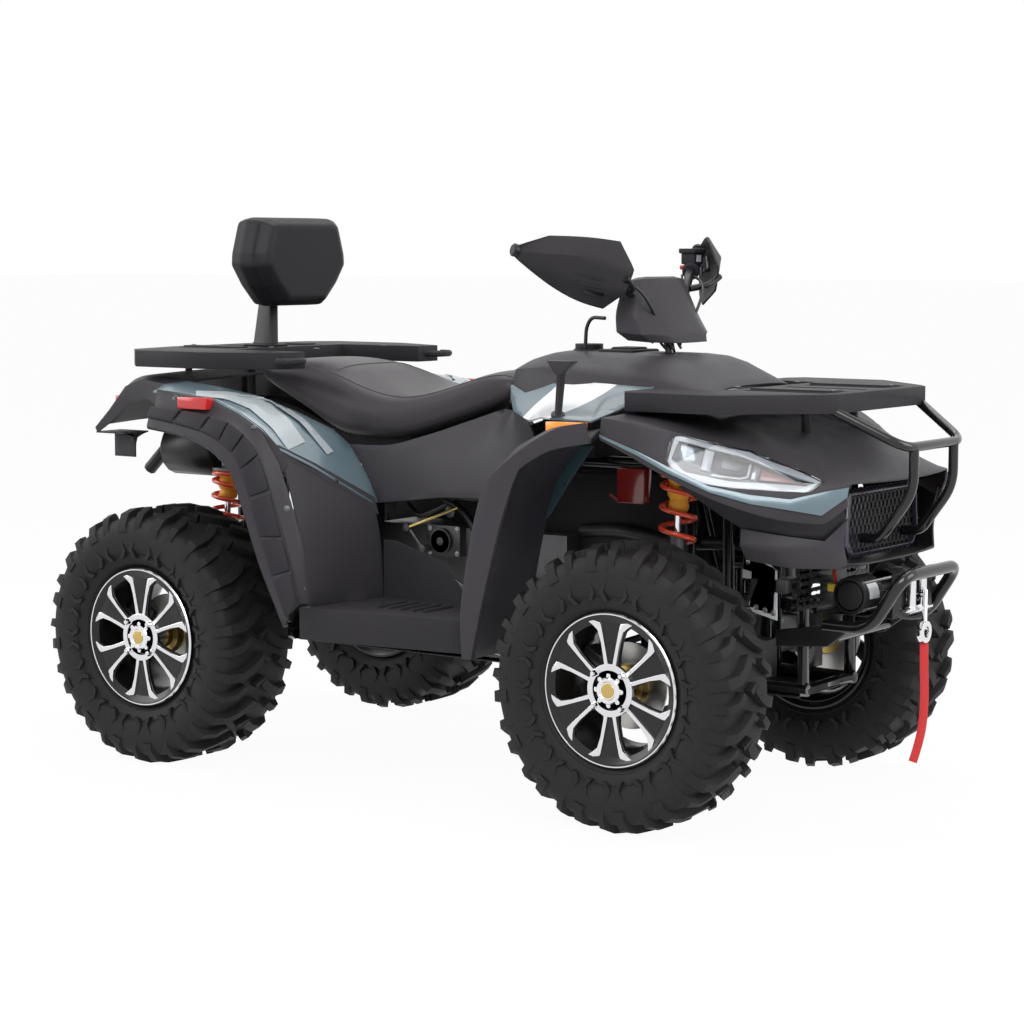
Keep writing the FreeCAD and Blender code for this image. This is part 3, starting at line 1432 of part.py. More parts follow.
def footrest():
    front, rear = footrest_front, -footrest_rear
    floor_low, top = footrest_rim_z - panel_wall, footrest_rim_z
    floor = prism([(rear, footrest_inner_y), (front, footrest_inner_y), (front, sill_front_y),
                   (rear, sill_rear_y)],
                  "z", floor_low, top)
    sill = prism([(rear, sill_rear_y - sill_width), (front, sill_front_y - sill_width),
                  (front, sill_front_y),
                  (rear, sill_rear_y)], "z", footrest_low_z, top)
    rise = footrest_guard_top - top
    guard_shares = [(0.12, 0.0), (0.12, 1.0), (0.20, 1.0), (0.52, 0.70), (0.69, 0.05), (0.69, 0.0)]
    outline = [(rear + (front - rear) * x, top - panel_wall / 2 + rise * z) for x, z in guard_shares]
    guard = prism(outline, "y", footrest_inner_y, footrest_inner_y + panel_wall)
    treads = []
    for i in range(tread_count):
        x = (front + rear) / 2 + tread_pitch * (i - (tread_count - 1) / 2)
        treads.append(box(x - tread_width / 2, x + tread_width / 2, tread_y, tread_y + tread_length,
                          top - panel_wall / 2, top + tread_height))
    return fuse([floor, sill, guard] + treads)


def footwell():
    """The wall behind the rider's boot, from the footrest up to the rear panel."""
    shares = [
        [(0.979, 0.559, -0.006), (0.957, 0.561, 0.393), (0.829, 0.567, 0.596)],
        [(0.843, 0.751, -0.006), (0.757, 0.76, 0.471), (0.5, 0.745, 0.759)],
        [(0.729, 0.992, -0.006), (0.514, 0.989, 0.499), (0.086, 0.981, 0.958)]]
    wall = skin(placed(shares, -well_rear, well_length, well_outer_y, footrest_rim_z, well_height),
        panel_wall)
    return wall.cut(box(-well_rear, 0, 0, well_outer_y + overrun, 0, footrest_rim_z + seat_gap))


def seat():
    shares = [(0.0, 0.66, 0.76, 0.91), (0.05, 0.83, 0.70, 0.97), (0.23, 0.88, 0.32, 1.0),
              (0.36, 0.95, 0.02, 0.94),
              (0.50, 1.0, 0.0, 0.72), (0.62, 0.97, 0.0, 0.60), (0.75, 0.83, 0.17, 0.73),
                  (0.89, 0.72, 0.37, 0.96),
              (0.97, 0.63, 0.54, 0.93), (1.0, 0.56, 0.60, 0.80)]
    edge_shares = [(0.94, 0.0), (1.0, 0.70), (0.86, 0.94), (0.40, 1.0)]
    rows = []
    for x, half, low, high in shares:
        base, rise = seat_base_z + seat_height * low, seat_height * (high - low)
        right = [(seat_half * half * y, base + rise * z) for y, z in edge_shares]
        rows.append([(-seat_rear + seat_length * x, y, z) for y, z in right + [(-y, z) for y,
                     z in reversed(right)]])
    return loft(rows)


def seat_cover():
    """The dark side panel below the seat."""
    shares = [
        [(0.011, 0.492, 0.469), (0.076, 0.517, 0.272), (0.135, 0.55, 0.047)],
        [(0.142, 0.471, 0.469), (0.198, 0.512, 0.281), (0.253, 0.55, 0.087)],
        [(0.297, 0.433, 0.6), (0.314, 0.508, 0.375), (0.352, 0.558, 0.125)],
        [(0.481, 0.371, 0.781), (0.484, 0.492, 0.5), (0.505, 0.571, 0.138)],
        [(0.554, 0.487, 0.781), (0.593, 0.546, 0.531), (0.637, 0.596, 0.237)],
        [(0.648, 0.621, 0.731), (0.673, 0.625, 0.594), (0.697, 0.625, 0.388)]]
    shell = skin(placed(shares, -side_rear, side_length, side_half, side_base_z, side_height), panel_wall)
    return cut_back(shell, side_rows(), panel_wall + seat_gap)


def side_rows():
    shares = [
        [(0.484, 0.329, 0.953), (0.508, 0.392, 0.869), (0.554, 0.492, 0.781)],
        [(0.648, 0.4, 0.994), (0.655, 0.521, 0.869), (0.653, 0.629, 0.731)],
        [(0.78, 0.425, 1.006), (0.78, 0.625, 0.856), (0.776, 0.858, 0.791)],
        [(0.967, 0.433, 1.0), (0.967, 0.688, 0.869), (0.967, 0.979, 0.794)]]
    return placed(shares, -side_rear, side_length, side_half, side_base_z, side_height)


def side_panel():
    """The painted panel between the tank cover and the front fender."""
    return cut_back(skin(side_rows(), panel_wall), tank_rows(), -3 * panel_wall)


def body_rows():
    shares = [
        [(0.127, 0.758, 1.0), (0.127, 0.913, 0.986), (0.127, 0.992, 0.931)],
        [(0.3, 0.758, 0.966), (0.3, 0.902, 0.966), (0.3, 0.997, 0.921)],
        [(0.467, 0.705, 0.897), (0.467, 0.875, 0.924), (0.467, 0.997, 0.879)],
        [(0.59, 0.587, 0.759), (0.603, 0.814, 0.828), (0.6, 0.997, 0.783)],
        [(0.7, 0.477, 0.607), (0.72, 0.758, 0.683), (0.717, 0.994, 0.655)],
        [(0.765, 0.447, 0.483), (0.797, 0.72, 0.483), (0.79, 0.981, 0.503)],
        [(0.863, 0.47, 0.269), (0.873, 0.625, 0.269), (0.863, 0.833, 0.352)],
        [(0.953, 0.5, 0.021), (0.967, 0.538, 0.028), (0.98, 0.576, 0.034)]]
    return placed(shares, -body_rear, body_length, body_half, body_base_z, body_height)


def rear_body():
    """The painted panel over the rear wheel, down to its point above the footrest."""
    return skin(body_rows(), panel_wall)


def grille():
    outline_shares = [(-0.86, 0.0), (0.86, 0.0), (1.0, 0.2), (0.94, 1.0), (-0.94, 1.0), (-1.0, 0.2)]
    outline = [(grille_half * y, grille_low_z + grille_height * z) for y, z in outline_shares]
    plate = prism(outline, "x", grille_x, grille_x + grille_thickness)
    rise = cell_pitch * math.sqrt(3) / 2
    rows = int((grille_height - cell_pitch / 2) / rise)
    radius = (cell_pitch - cell_wall) / math.sqrt(3)
    cells = []
    for i in range(rows):
        z = grille_low_z + grille_height / 2 + rise * (i - (rows - 1) / 2)
        count = int((2 * grille_half * 0.84) / cell_pitch) - i % 2
        for j in range(count):
            y = cell_pitch * (j - (count - 1) / 2)
            points = [(y + radius * math.sin(math.pi * k / 3), z + radius * math.cos(math.pi * k / 3))
                      for k in range(6)]
            cells.append(prism(points, "x", grille_x - overrun, grille_x + overrun))
    return plate.cut(cells)


def shroud():
    """The surround of the grille with the chin below each headlamp, open at the front and rear."""
    shares = [
        [(0.017, 0.976, 0.473), (0.026, 1.0, 0.286), (0.043, 0.939, 0.121), (0.052, 0.455, 0.011),
         (0.052, 0.0, 0.011)],
        [(0.388, 0.903, 0.407), (0.409, 0.927, 0.264), (0.453, 0.867, 0.044), (0.453, 0.424, 0.011),
         (0.453, 0.0, 0.011)],
        [(0.716, 0.752, 0.352), (0.724, 0.758, 0.264), (0.802, 0.685, 0.033), (0.81, 0.394, 0.011),
         (0.81, 0.0, 0.011)],
        [(0.879, 0.655, 0.615), (0.819, 0.648, 0.341), (0.853, 0.624, 0.077), (0.862, 0.364, 0.033),
         (0.862, 0.0, 0.033)]]
    rows = across(placed(shares, shroud_rear, shroud_length, shroud_half, shroud_base_z, shroud_height))
    cuts = [rod((nose_post_x, s, 0), (nose_post_x, s, tower_top_z), post_radius + run_gap / 6)
            for s in (rail_y, -rail_y)]
    for s in (guard_drop_y, -guard_drop_y):
        cuts.append(box(grille_x, guard_front, s - 2 * guard_radius, s + 2 * guard_radius,
                        guard_foot_z - 2 * guard_radius, guard_foot_z + 2 * guard_radius))
    return skin(rows, -panel_wall).cut(cuts)


def fender_bracket():
    """The bare metal bracket between the nose post and the fairing."""
    shares = [(0.024, 1.0), (0.167, 1.0), (0.357, 0.799), (0.976, 0.682), (0.929, 0.0), (0.19, 0.097),
              (0.238, 0.604), (-0.048, 0.636)]
    outline = [(bracket_rear + bracket_length * x, bracket_low_z + bracket_height * z) for x, z in shares]
    plate = prism(outline, "y", bracket_y - bracket_plate, bracket_y)
    near = rail_y + flat(post_radius) + seat_gap
    low = bracket_low_z + bracket_height / 3
    foot = box(bracket_rear + bracket_length - 2 * bracket_plate, nose_post_x, near, bracket_y, low,
        low + bracket_foot_height)
    wing = box(bracket_rear + bracket_length / 2, bracket_rear + bracket_length, near, bracket_y, low,
        low + bracket_plate)
    return fuse([plate, wing, foot])


nose_shell, left_lamp = nose()
pieces["nose_fairing"] = nose_shell
pieces["headlamps"] = pair(left_lamp)
pieces["tank_cover"] = tank_cover()
pieces["fuel_tank"] = fuel_tank()
tail_shell, tail_rows = tail()
pieces["tail"] = fuse([tail_shell, lamp_bracket(), flip(lamp_bracket())])
fender_rows = rear_fender_rows()
pieces["front_fenders"] = pair(skin(front_fender_rows(), panel_wall))
pieces["rear_fenders"] = pair(skin(fender_rows, panel_wall))
pieces["footrests"] = pair(footrest())
pieces["footwell_walls"] = pair(footwell())
pieces["seat"] = seat()
pieces["seat_covers"] = pair(seat_cover())
pieces["side_panels"] = Part.makeCompound([pair(side_panel()), pair(rear_body())])
pieces["grille"] = grille()
pieces["grille_shroud"] = shroud()
pieces["fender_brackets"] = pair(fender_bracket())


# Backrest, lamps, hitch, radiator, lever and strap

def backrest():
    post_front = -pad_x - pad_thickness / 2 - seat_gap
    deck = rear_rack_top + seat_gap
    foot = box(post_front - post_depth - overrun, post_front + overrun, -post_half_width * 2,
        post_half_width * 2,
               deck, deck + post_wall)
    rows = []
    for z, rear in ((deck, post_front - post_depth),
        (pad_low_z + pad_tall / 2, post_front - post_depth / 3)):
        rows.append([(rear, -post_half_width, z), (post_front, -post_half_width, z),
                     (post_front, post_half_width, z),
                     (rear, post_half_width, z)])
    depth_shares = [(0.0, 0.93), (0.35, 1.0), (0.75, 0.98), (1.0, 0.80)]
    outline_shares = [(0.50, 0.0), (1.0, 0.46), (0.97, 0.60), (0.84, 0.97), (0.70, 1.0)]
    sections = []
    for x, scale in depth_shares:
        at = post_front + seat_gap + pad_thickness * x
        right = [(pad_half_width * y * scale, pad_low_z + pad_tall * (0.5 + (z - 0.5) * scale))
                 for y, z in outline_shares]
        sections.append([(at, y, z) for y, z in right + [(-y, z) for y, z in reversed(right)]])
    return fuse([foot, loft(rows)]), loft(sections)


def marker(x, y, z):
    return box(x - marker_length / 2, x + marker_length / 2, y - marker_sink, y + marker_depth, z,
        z + marker_height)


def lamps():
    """Side markers and tail lamps, each cut back to its panel."""
    amber = marker(marker_front_x, marker_front_y, marker_front_z)
    amber = amber.cut([skin(front_fender_rows(), 3 * panel_wall, seat_gap), skin(side_rows(),
                       3 * panel_wall, seat_gap)])
    amber = max(amber.Solids, key=lambda s: s.Volume)
    red = marker(-marker_rear_x, marker_rear_y, marker_rear_z).cut(skin(fender_rows, 2 * overrun, seat_gap))
    red = max(red.Solids, key=lambda s: s.CenterOfMass.y)
    rear = box(-tail_lamp_x - tail_lamp_depth, -tail_lamp_x + tail_lamp_depth,
        tail_lamp_y - tail_lamp_length / 2,
               tail_lamp_y + tail_lamp_length / 2, tail_lamp_z, tail_lamp_z + tail_lamp_height)
    rear = rear.cut(skin(tail_rows, 2 * overrun, seat_gap))
    rear = min(rear.Solids, key=lambda s: s.CenterOfMass.x)
    return [amber, red, rear]


def tow_hitch():
    low = rail_z + flat(brace_radius) + seat_gap
    rear = -lower_rail_rear - hitch_length
    plate = box(rear, rear + hitch_length + 2 * rail_radius, -hitch_width / 2, hitch_width / 2, low,
                low + hitch_thickness)
    hole_x = rear + hitch_width / 2
    return plate.cut(pin((hole_x, 0, 0), (hole_x, 0, rail_z + 2 * hitch_width), hitch_bore_radius))


def gear_lever():
    foot = Vec(lever_x, -lever_y, lever_low_z)
    top = Vec(lever_x + lever_lean_x, -lever_y - lever_lean_y, lever_top_z)
    way = (top - foot).normalize()
    base = rod(foot, foot + way * lever_foot, 2 * lever_radius)
    shaft = cone(foot, top - way * lever_knob / 2, lever_radius, lever_radius * 1.3)
    half = lever_knob_depth / 2
    low = top - way * lever_knob
    knob = loft([[low + Vec(-lever_radius, -half, 0), low + Vec(lever_radius, -half, 0),
                  low + Vec(lever_radius, half, 0), low + Vec(-lever_radius, half, 0)],
                 [top + Vec(-lever_knob, -half, 0), top + Vec(lever_knob, -half, 0),
                  top + Vec(lever_knob, half, 0), top + Vec(-lever_knob, half, 0)]])
    whole = fuse([base, shaft, knob]).cut(flip(skin(side_rows(), 3 * panel_wall, seat_gap)))
    return max(whole.Solids, key=lambda s: s.CenterOfMass.z)


def radiator():
    rear = grille_x - seat_gap - radiator_thickness
    low = shroud_base_z + 2 * panel_wall + seat_gap
    return box(rear, rear + radiator_thickness, -radiator_half, radiator_half, low, low + radiator_height)


# The strap hangs from the hook's ring; its points are chosen by hand
strap_points = [(1163.0, 0.0, 399.5), (1165.0, -3.0, 352.0), (1167.0, -2.0, 298.0), (1168.0, -6.0, 240.0),
                (1165.0, -16.0, 186.0), (1157.0, -34.0, 138.0)]
strap_radius = 7.0
strap_bend = 120.0

post, pad = backrest()
pieces["backrest_post"] = post
pieces["backrest_pad"] = pad
amber, red, rear_lamp = lamps()
lights = [amber, red, rear_lamp]
pieces["marker_lamps"] = Part.makeCompound(lights + [flip(s) for s in lights])
pieces["tow_hitch"] = tow_hitch()
pieces["gear_lever"] = gear_lever()
pieces["radiator"] = radiator()
pieces["hook_strap"] = tube(bend(strap_points, strap_bend), strap_radius)

for name, shape in pieces.items():
    shape.translate(Vec(middle_shift, 0, 0))
    shape.exportStep("parts/" + name + ".step")
    print(name, shape.isValid(), round(shape.Volume / 1000), len(shape.Solids))
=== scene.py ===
import bpy
import bmesh
import json
import math
from mathutils import Vector, Matrix
from mathutils.bvhtree import BVHTree

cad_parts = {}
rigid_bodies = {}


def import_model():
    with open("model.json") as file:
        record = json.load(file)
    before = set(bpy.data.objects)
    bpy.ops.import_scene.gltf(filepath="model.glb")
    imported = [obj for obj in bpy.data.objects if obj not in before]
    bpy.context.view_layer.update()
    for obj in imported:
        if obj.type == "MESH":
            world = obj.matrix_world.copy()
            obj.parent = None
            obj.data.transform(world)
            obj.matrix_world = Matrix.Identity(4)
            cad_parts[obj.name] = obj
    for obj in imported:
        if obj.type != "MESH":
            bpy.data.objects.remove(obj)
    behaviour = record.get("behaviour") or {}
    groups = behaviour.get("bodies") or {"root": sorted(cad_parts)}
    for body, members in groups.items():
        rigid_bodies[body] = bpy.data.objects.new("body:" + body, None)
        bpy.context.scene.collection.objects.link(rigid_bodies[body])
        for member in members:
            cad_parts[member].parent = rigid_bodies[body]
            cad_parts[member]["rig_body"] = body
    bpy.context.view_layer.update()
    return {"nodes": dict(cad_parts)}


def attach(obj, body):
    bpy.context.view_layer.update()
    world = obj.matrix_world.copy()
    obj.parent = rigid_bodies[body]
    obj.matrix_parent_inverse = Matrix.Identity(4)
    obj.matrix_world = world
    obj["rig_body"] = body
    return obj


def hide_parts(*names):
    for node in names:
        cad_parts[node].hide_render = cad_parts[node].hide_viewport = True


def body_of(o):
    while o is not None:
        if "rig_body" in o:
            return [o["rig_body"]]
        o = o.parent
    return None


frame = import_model()
nodes = frame["nodes"]
scene = bpy.context.scene
midShift = -0.0555  # metres; the tables below are in millimetres from the middle of the wheelbase


def spot(p):
    return Vector((p[0] / 1000 + midShift, p[1] / 1000, p[2] / 1000))


cameraView = {"place": (3625.1, -4964.9, 1264.3), "azimuth": 35.832, "elevation": 5.987, "lens": 87.96, "sensor": 36}
frameHalf = 512  # pixels from the middle of the picture to its edge


def viewAxes():  # the camera's right, up and back
    a, e = math.radians(cameraView["azimuth"]), math.radians(cameraView["elevation"])
    back = Vector((math.sin(a) * math.cos(e), -math.cos(a) * math.cos(e), math.sin(e)))
    right = Vector((math.cos(a), math.sin(a), 0))
    return right, back.cross(right), back


def seenWay(u, v):  # the direction in which a pixel looks
    right, up, back = viewAxes()
    half = cameraView["sensor"] / 2 / cameraView["lens"]
    return right * (u / frameHalf - 1) * half - up * (v / frameHalf - 1) * half - back


def addCamera():
    data = bpy.data.cameras.new("camera")
    data.lens = cameraView["lens"]
    data.sensor_width = cameraView["sensor"]
    camera = bpy.data.objects.new("camera", data)
    turn = Matrix(viewAxes()).transposed().to_4x4()
    camera.matrix_world = Matrix.Translation(spot(cameraView["place"])) @ turn
    scene.collection.objects.link(camera)
    scene.camera = camera


lampPlan = [
    {"name": "keyLamp", "place": (3.2, -4.2, 4.6), "size": 3.4, "power": 230, "aim": (0, 0, 0.6)},
    {"name": "frontLamp", "place": (5.0, 1.2, 2.6), "size": 3.0, "power": 105, "aim": (0.3, 0, 0.6)},
    {"name": "rearLamp", "place": (-4.4, -2.6, 2.8), "size": 3.2, "power": 100, "aim": (-0.3, 0, 0.6)},
    {"name": "topLamp", "place": (-0.4, 1.0, 5.4), "size": 4.2, "power": 140, "aim": (0, 0, 0.5)},
]


def addLamps():
    for plan in lampPlan:
        data = bpy.data.lights.new(plan["name"], "AREA")
        data.energy = plan["power"]
        data.size = plan["size"]
        lamp = bpy.data.objects.new(plan["name"], data)
        place = Vector(plan["place"])
        lamp.location = place
        lamp.rotation_mode = "QUATERNION"
        lamp.rotation_quaternion = (Vector(plan["aim"]) - place).to_track_quat("-Z", "Y")
        scene.collection.objects.link(lamp)


def plainNode(tree, kind, **values):  # a shader node with plain values on its sockets
    node = tree.nodes.new("ShaderNode" + kind)
    for label, value in values.items():
        node.inputs[label].default_value = value
    return node


def maths(tree, kind, a, b):
    node = plainNode(tree, "Math")
    node.operation = kind
    for i, value in enumerate((a, b)):
        if isinstance(value, (int, float)):
            node.inputs[i].default_value = value
        else:
            tree.links.new(value, node.inputs[i])
    return node.outputs[0]


studio = {"sky": (0.93, 0.95, 1, 1), "skyStrength": 0.5, "floorHalf": 90, "floor": (0.86, 0.86, 0.86, 1),
          "floorGlow": 0.96}


def seenRays(tree):  # the rays that show a surface to the camera, also in metal and through glass
    path = plainNode(tree, "LightPath")
    seen = maths(tree, "MAXIMUM", path.outputs["Is Camera Ray"], path.outputs["Is Transmission Ray"])
    return maths(tree, "MAXIMUM", seen, path.outputs["Is Glossy Ray"])


def mixShaders(tree, share, first, second, out):
    mix = plainNode(tree, "MixShader")
    for start, end in ((share, mix.inputs[0]), (first.outputs[0], mix.inputs[1]), (second.outputs[0], mix.inputs[2]),
                       (mix.outputs[0], out.inputs["Surface"])):
        tree.links.new(start, end)


def addWorld():
    world = bpy.data.worlds.new("studio")
    scene.world = world
    world.use_nodes = True
    tree = world.node_tree
    tree.nodes.clear()
    soft = plainNode(tree, "Background", Color=studio["sky"], Strength=studio["skyStrength"])
    white = plainNode(tree, "Background", Color=(1, 1, 1, 1), Strength=1)
    mixShaders(tree, seenRays(tree), soft, white, plainNode(tree, "OutputWorld"))


def addFloor():
    half = studio["floorHalf"]
    data = bpy.data.meshes.new("floor")
    data.from_pydata([(-half, -half, 0), (half, -half, 0), (half, half, 0), (-half, half, 0)], [], [(0, 1, 2, 3)])
    floor = bpy.data.objects.new("floor", data)
    scene.collection.objects.link(floor)
    paint = bpy.data.materials.new("floorPaint")
    paint.use_nodes = True
    tree = paint.node_tree
    tree.nodes.clear()
    body = plainNode(tree, "BsdfDiffuse", Color=studio["floor"])
    glow = plainNode(tree, "Emission", Strength=1)
    share = maths(tree, "MULTIPLY", seenRays(tree), studio["floorGlow"])
    mixShaders(tree, share, body, glow, plainNode(tree, "OutputMaterial"))
    data.materials.append(paint)


addCamera()
addLamps()
addWorld()
addFloor()
scene.view_settings.view_transform = "Standard"
print("camera, lamps and floor ready")


def newGroup(name, inputs, outputs, kind="Shader"):
    group = bpy.data.node_groups.new(name, kind + "NodeTree")
    for label, sort, value in inputs:
        socket = group.interface.new_socket(label, in_out="INPUT", socket_type="NodeSocket" + sort)
        if value is not None:
            socket.default_value = value
    for label, sort in outputs:
        group.interface.new_socket(label, in_out="OUTPUT", socket_type="NodeSocket" + sort)
    return group, group.nodes.new("NodeGroupInput"), group.nodes.new("NodeGroupOutput")


def noiseNode(tree, start, scale, detail=4, stretch=None):
    wave = plainNode(tree, "TexNoise", Detail=detail)
    vector = plainNode(tree, "TexCoord").outputs["Object"]
    if stretch:
        mapping = plainNode(tree, "Mapping", Scale=stretch)
        tree.links.new(vector, mapping.inputs["Vector"])
        vector = mapping.outputs["Vector"]
    tree.links.new(vector, wave.inputs["Vector"])
    tree.links.new(start.outputs[scale], wave.inputs["Scale"])
    return wave


def mixColour(tree, factor, a, b):
    node = tree.nodes.new("ShaderNodeMix")
    node.data_type = "RGBA"
    for socket, value in ((node.inputs[0], factor), (node.inputs[6], a), (node.inputs[7], b)):
        if hasattr(value, "links"):
            tree.links.new(value, socket)
        else:
            socket.default_value = value
    return node.outputs[2]


def varyGroup():
    inputs = [("Color", "Color", (0.5, 0.5, 0.5, 1)), ("Second", "Color", (0.4, 0.4, 0.4, 1)), ("Scale", "Float", 8.0),
              ("Amount", "Float", 0.3)]
    group, start, end = newGroup("colourVary", inputs, [("Color", "Color")])
    wave = noiseNode(group, start, "Scale")
    share = maths(group, "MULTIPLY", wave.outputs[0], start.outputs["Amount"])
    group.links.new(mixColour(group, share, start.outputs["Color"], start.outputs["Second"]), end.inputs["Color"])
    return group


def roughGroup():
    inputs = [("Roughness", "Float", 0.5), ("Scale", "Float", 12.0), ("Amount", "Float", 0.15)]
    group, start, end = newGroup("roughVary", inputs, [("Roughness", "Float")])
    wave = noiseNode(group, start, "Scale", 6)
    swing = maths(group, "MULTIPLY", maths(group, "SUBTRACT", wave.outputs[0], 0.5), start.outputs["Amount"])
    group.links.new(maths(group, "ADD", start.outputs["Roughness"], swing), end.inputs["Roughness"])
    return group


def heightGroup(name, **inputs):  # a relief in one channel, with plain numbers to set
    return newGroup(name, [(label, "Float", value) for label, value in inputs.items()], [("Height", "Float")])


def grainGroup():
    group, start, end = heightGroup("grainHeight", Scale=900.0, Depth=1.0)
    wave = noiseNode(group, start, "Scale", 2)
    group.links.new(maths(group, "MULTIPLY", wave.outputs[0], start.outputs["Depth"]), end.inputs["Height"])
    return group


def leatherGroup():
    group, start, end = heightGroup("leatherHeight", Scale=420.0, Crease=14.0)
    where = plainNode(group, "TexCoord").outputs["Object"]
    cells = group.nodes.new("ShaderNodeTexVoronoi")
    cells.feature = "DISTANCE_TO_EDGE"
    group.links.new(where, cells.inputs["Vector"])
    group.links.new(start.outputs["Scale"], cells.inputs["Scale"])
    pebble = maths(group, "MINIMUM", maths(group, "MULTIPLY", cells.outputs["Distance"], 6.0), 1.0)
    wave = noiseNode(group, start, "Crease", 3)
    group.links.new(maths(group, "ADD", maths(group, "MULTIPLY", pebble, 0.5), wave.outputs[0]), end.inputs["Height"])
    return group


def brushGroup():
    group, start, end = heightGroup("brushHeight", Scale=60.0)
    wave = noiseNode(group, start, "Scale", 5, (1, 14, 14))
    group.links.new(wave.outputs[0], end.inputs["Height"])
    return group


def weaveGroup():
    group, start, end = heightGroup("weaveHeight", Scale=260.0)
    where = plainNode(group, "TexCoord").outputs["Object"]
    heights = []
    for way in ("X", "Z"):
        wave = group.nodes.new("ShaderNodeTexWave")
        wave.bands_direction = way
        group.links.new(where, wave.inputs["Vector"])
        group.links.new(start.outputs["Scale"], wave.inputs["Scale"])
        heights.append(wave.outputs["Fac"])
    group.links.new(maths(group, "MAXIMUM", heights[0], heights[1]), end.inputs["Height"])
    return group


def stripeGroup():
    inputs = [("Direction", "Vector", (1, 0, 0)), ("Low", "Float", 0.0), ("High", "Float", 0.1)]
    group, start, end = newGroup("stripeMask", inputs, [("Mask", "Float")])
    where = plainNode(group, "TexCoord").outputs["Object"]
    dot = group.nodes.new("ShaderNodeVectorMath")
    dot.operation = "DOT_PRODUCT"
    group.links.new(where, dot.inputs[0])
    group.links.new(start.outputs["Direction"], dot.inputs[1])
    above = maths(group, "GREATER_THAN", dot.outputs["Value"], start.outputs["Low"])
    below = maths(group, "LESS_THAN", dot.outputs["Value"], start.outputs["High"])
    group.links.new(maths(group, "MULTIPLY", above, below), end.inputs["Mask"])
    return group


groups = {"vary": varyGroup(), "rough": roughGroup(), "grain": grainGroup(), "leather": leatherGroup(),
          "brush": brushGroup(), "weave": weaveGroup(), "stripe": stripeGroup()}


def useGroup(tree, name, **values):
    node = tree.nodes.new("ShaderNodeGroup")
    node.node_tree = groups[name]
    for label, value in values.items():
        node.inputs[label].default_value = value
    return node


lookBase = {"coatRough": 0.12, "glassIor": 1.46, "glow": 0.25, "reliefReach": 0.002, "second": 0.72}


def finish(name, colour, second=None, rough=0.5, metal=0.0, coat=0.0, height="grain", scale=900.0, depth=0.2, vary=9.0,
           amount=0.5, glass=0.0, roughSwing=0.12, sheen=0.0, glow=None, shine=0.5, band=None):
    material = bpy.data.materials.new(name)
    material.use_nodes = True
    tree = material.node_tree
    body = tree.nodes["Principled BSDF"]
    second = second or tuple(c * lookBase["second"] for c in colour)
    body.inputs["Base Color"].default_value = (*colour, 1)
    body.inputs["Roughness"].default_value = rough
    paint = None
    if amount:
        shades = useGroup(tree, "vary", Color=(*colour, 1), Second=(*second, 1), Scale=vary, Amount=amount)
        paint = shades.outputs["Color"]
    if band:
        way, low, high, tint = band
        mask = useGroup(tree, "stripe", Direction=way, Low=low, High=high)
        paint = mixColour(tree, mask.outputs["Mask"], paint, (*tint, 1))
    if paint:
        tree.links.new(paint, body.inputs["Base Color"])
    if roughSwing:
        gloss = useGroup(tree, "rough", Roughness=rough, Scale=vary * 2, Amount=roughSwing)
        tree.links.new(gloss.outputs["Roughness"], body.inputs["Roughness"])
    for label, value in (("Metallic", metal), ("Coat Weight", coat), ("Specular IOR Level", shine),
                         ("Coat Roughness", lookBase["coatRough"]), ("Sheen Weight", sheen),
                         ("Transmission Weight", glass)):
        body.inputs[label].default_value = value
    if glass:
        body.inputs["IOR"].default_value = lookBase["glassIor"]
    if glow:
        body.inputs["Emission Color"].default_value = (*glow, 1)
        body.inputs["Emission Strength"].default_value = lookBase["glow"]
    if height:
        relief = useGroup(tree, height, Scale=scale)
        bump = plainNode(tree, "Bump", Strength=depth, Distance=lookBase["reliefReach"])
        tree.links.new(relief.outputs["Height"], bump.inputs["Height"])
        tree.links.new(bump.outputs["Normal"], body.inputs["Normal"])
    return material


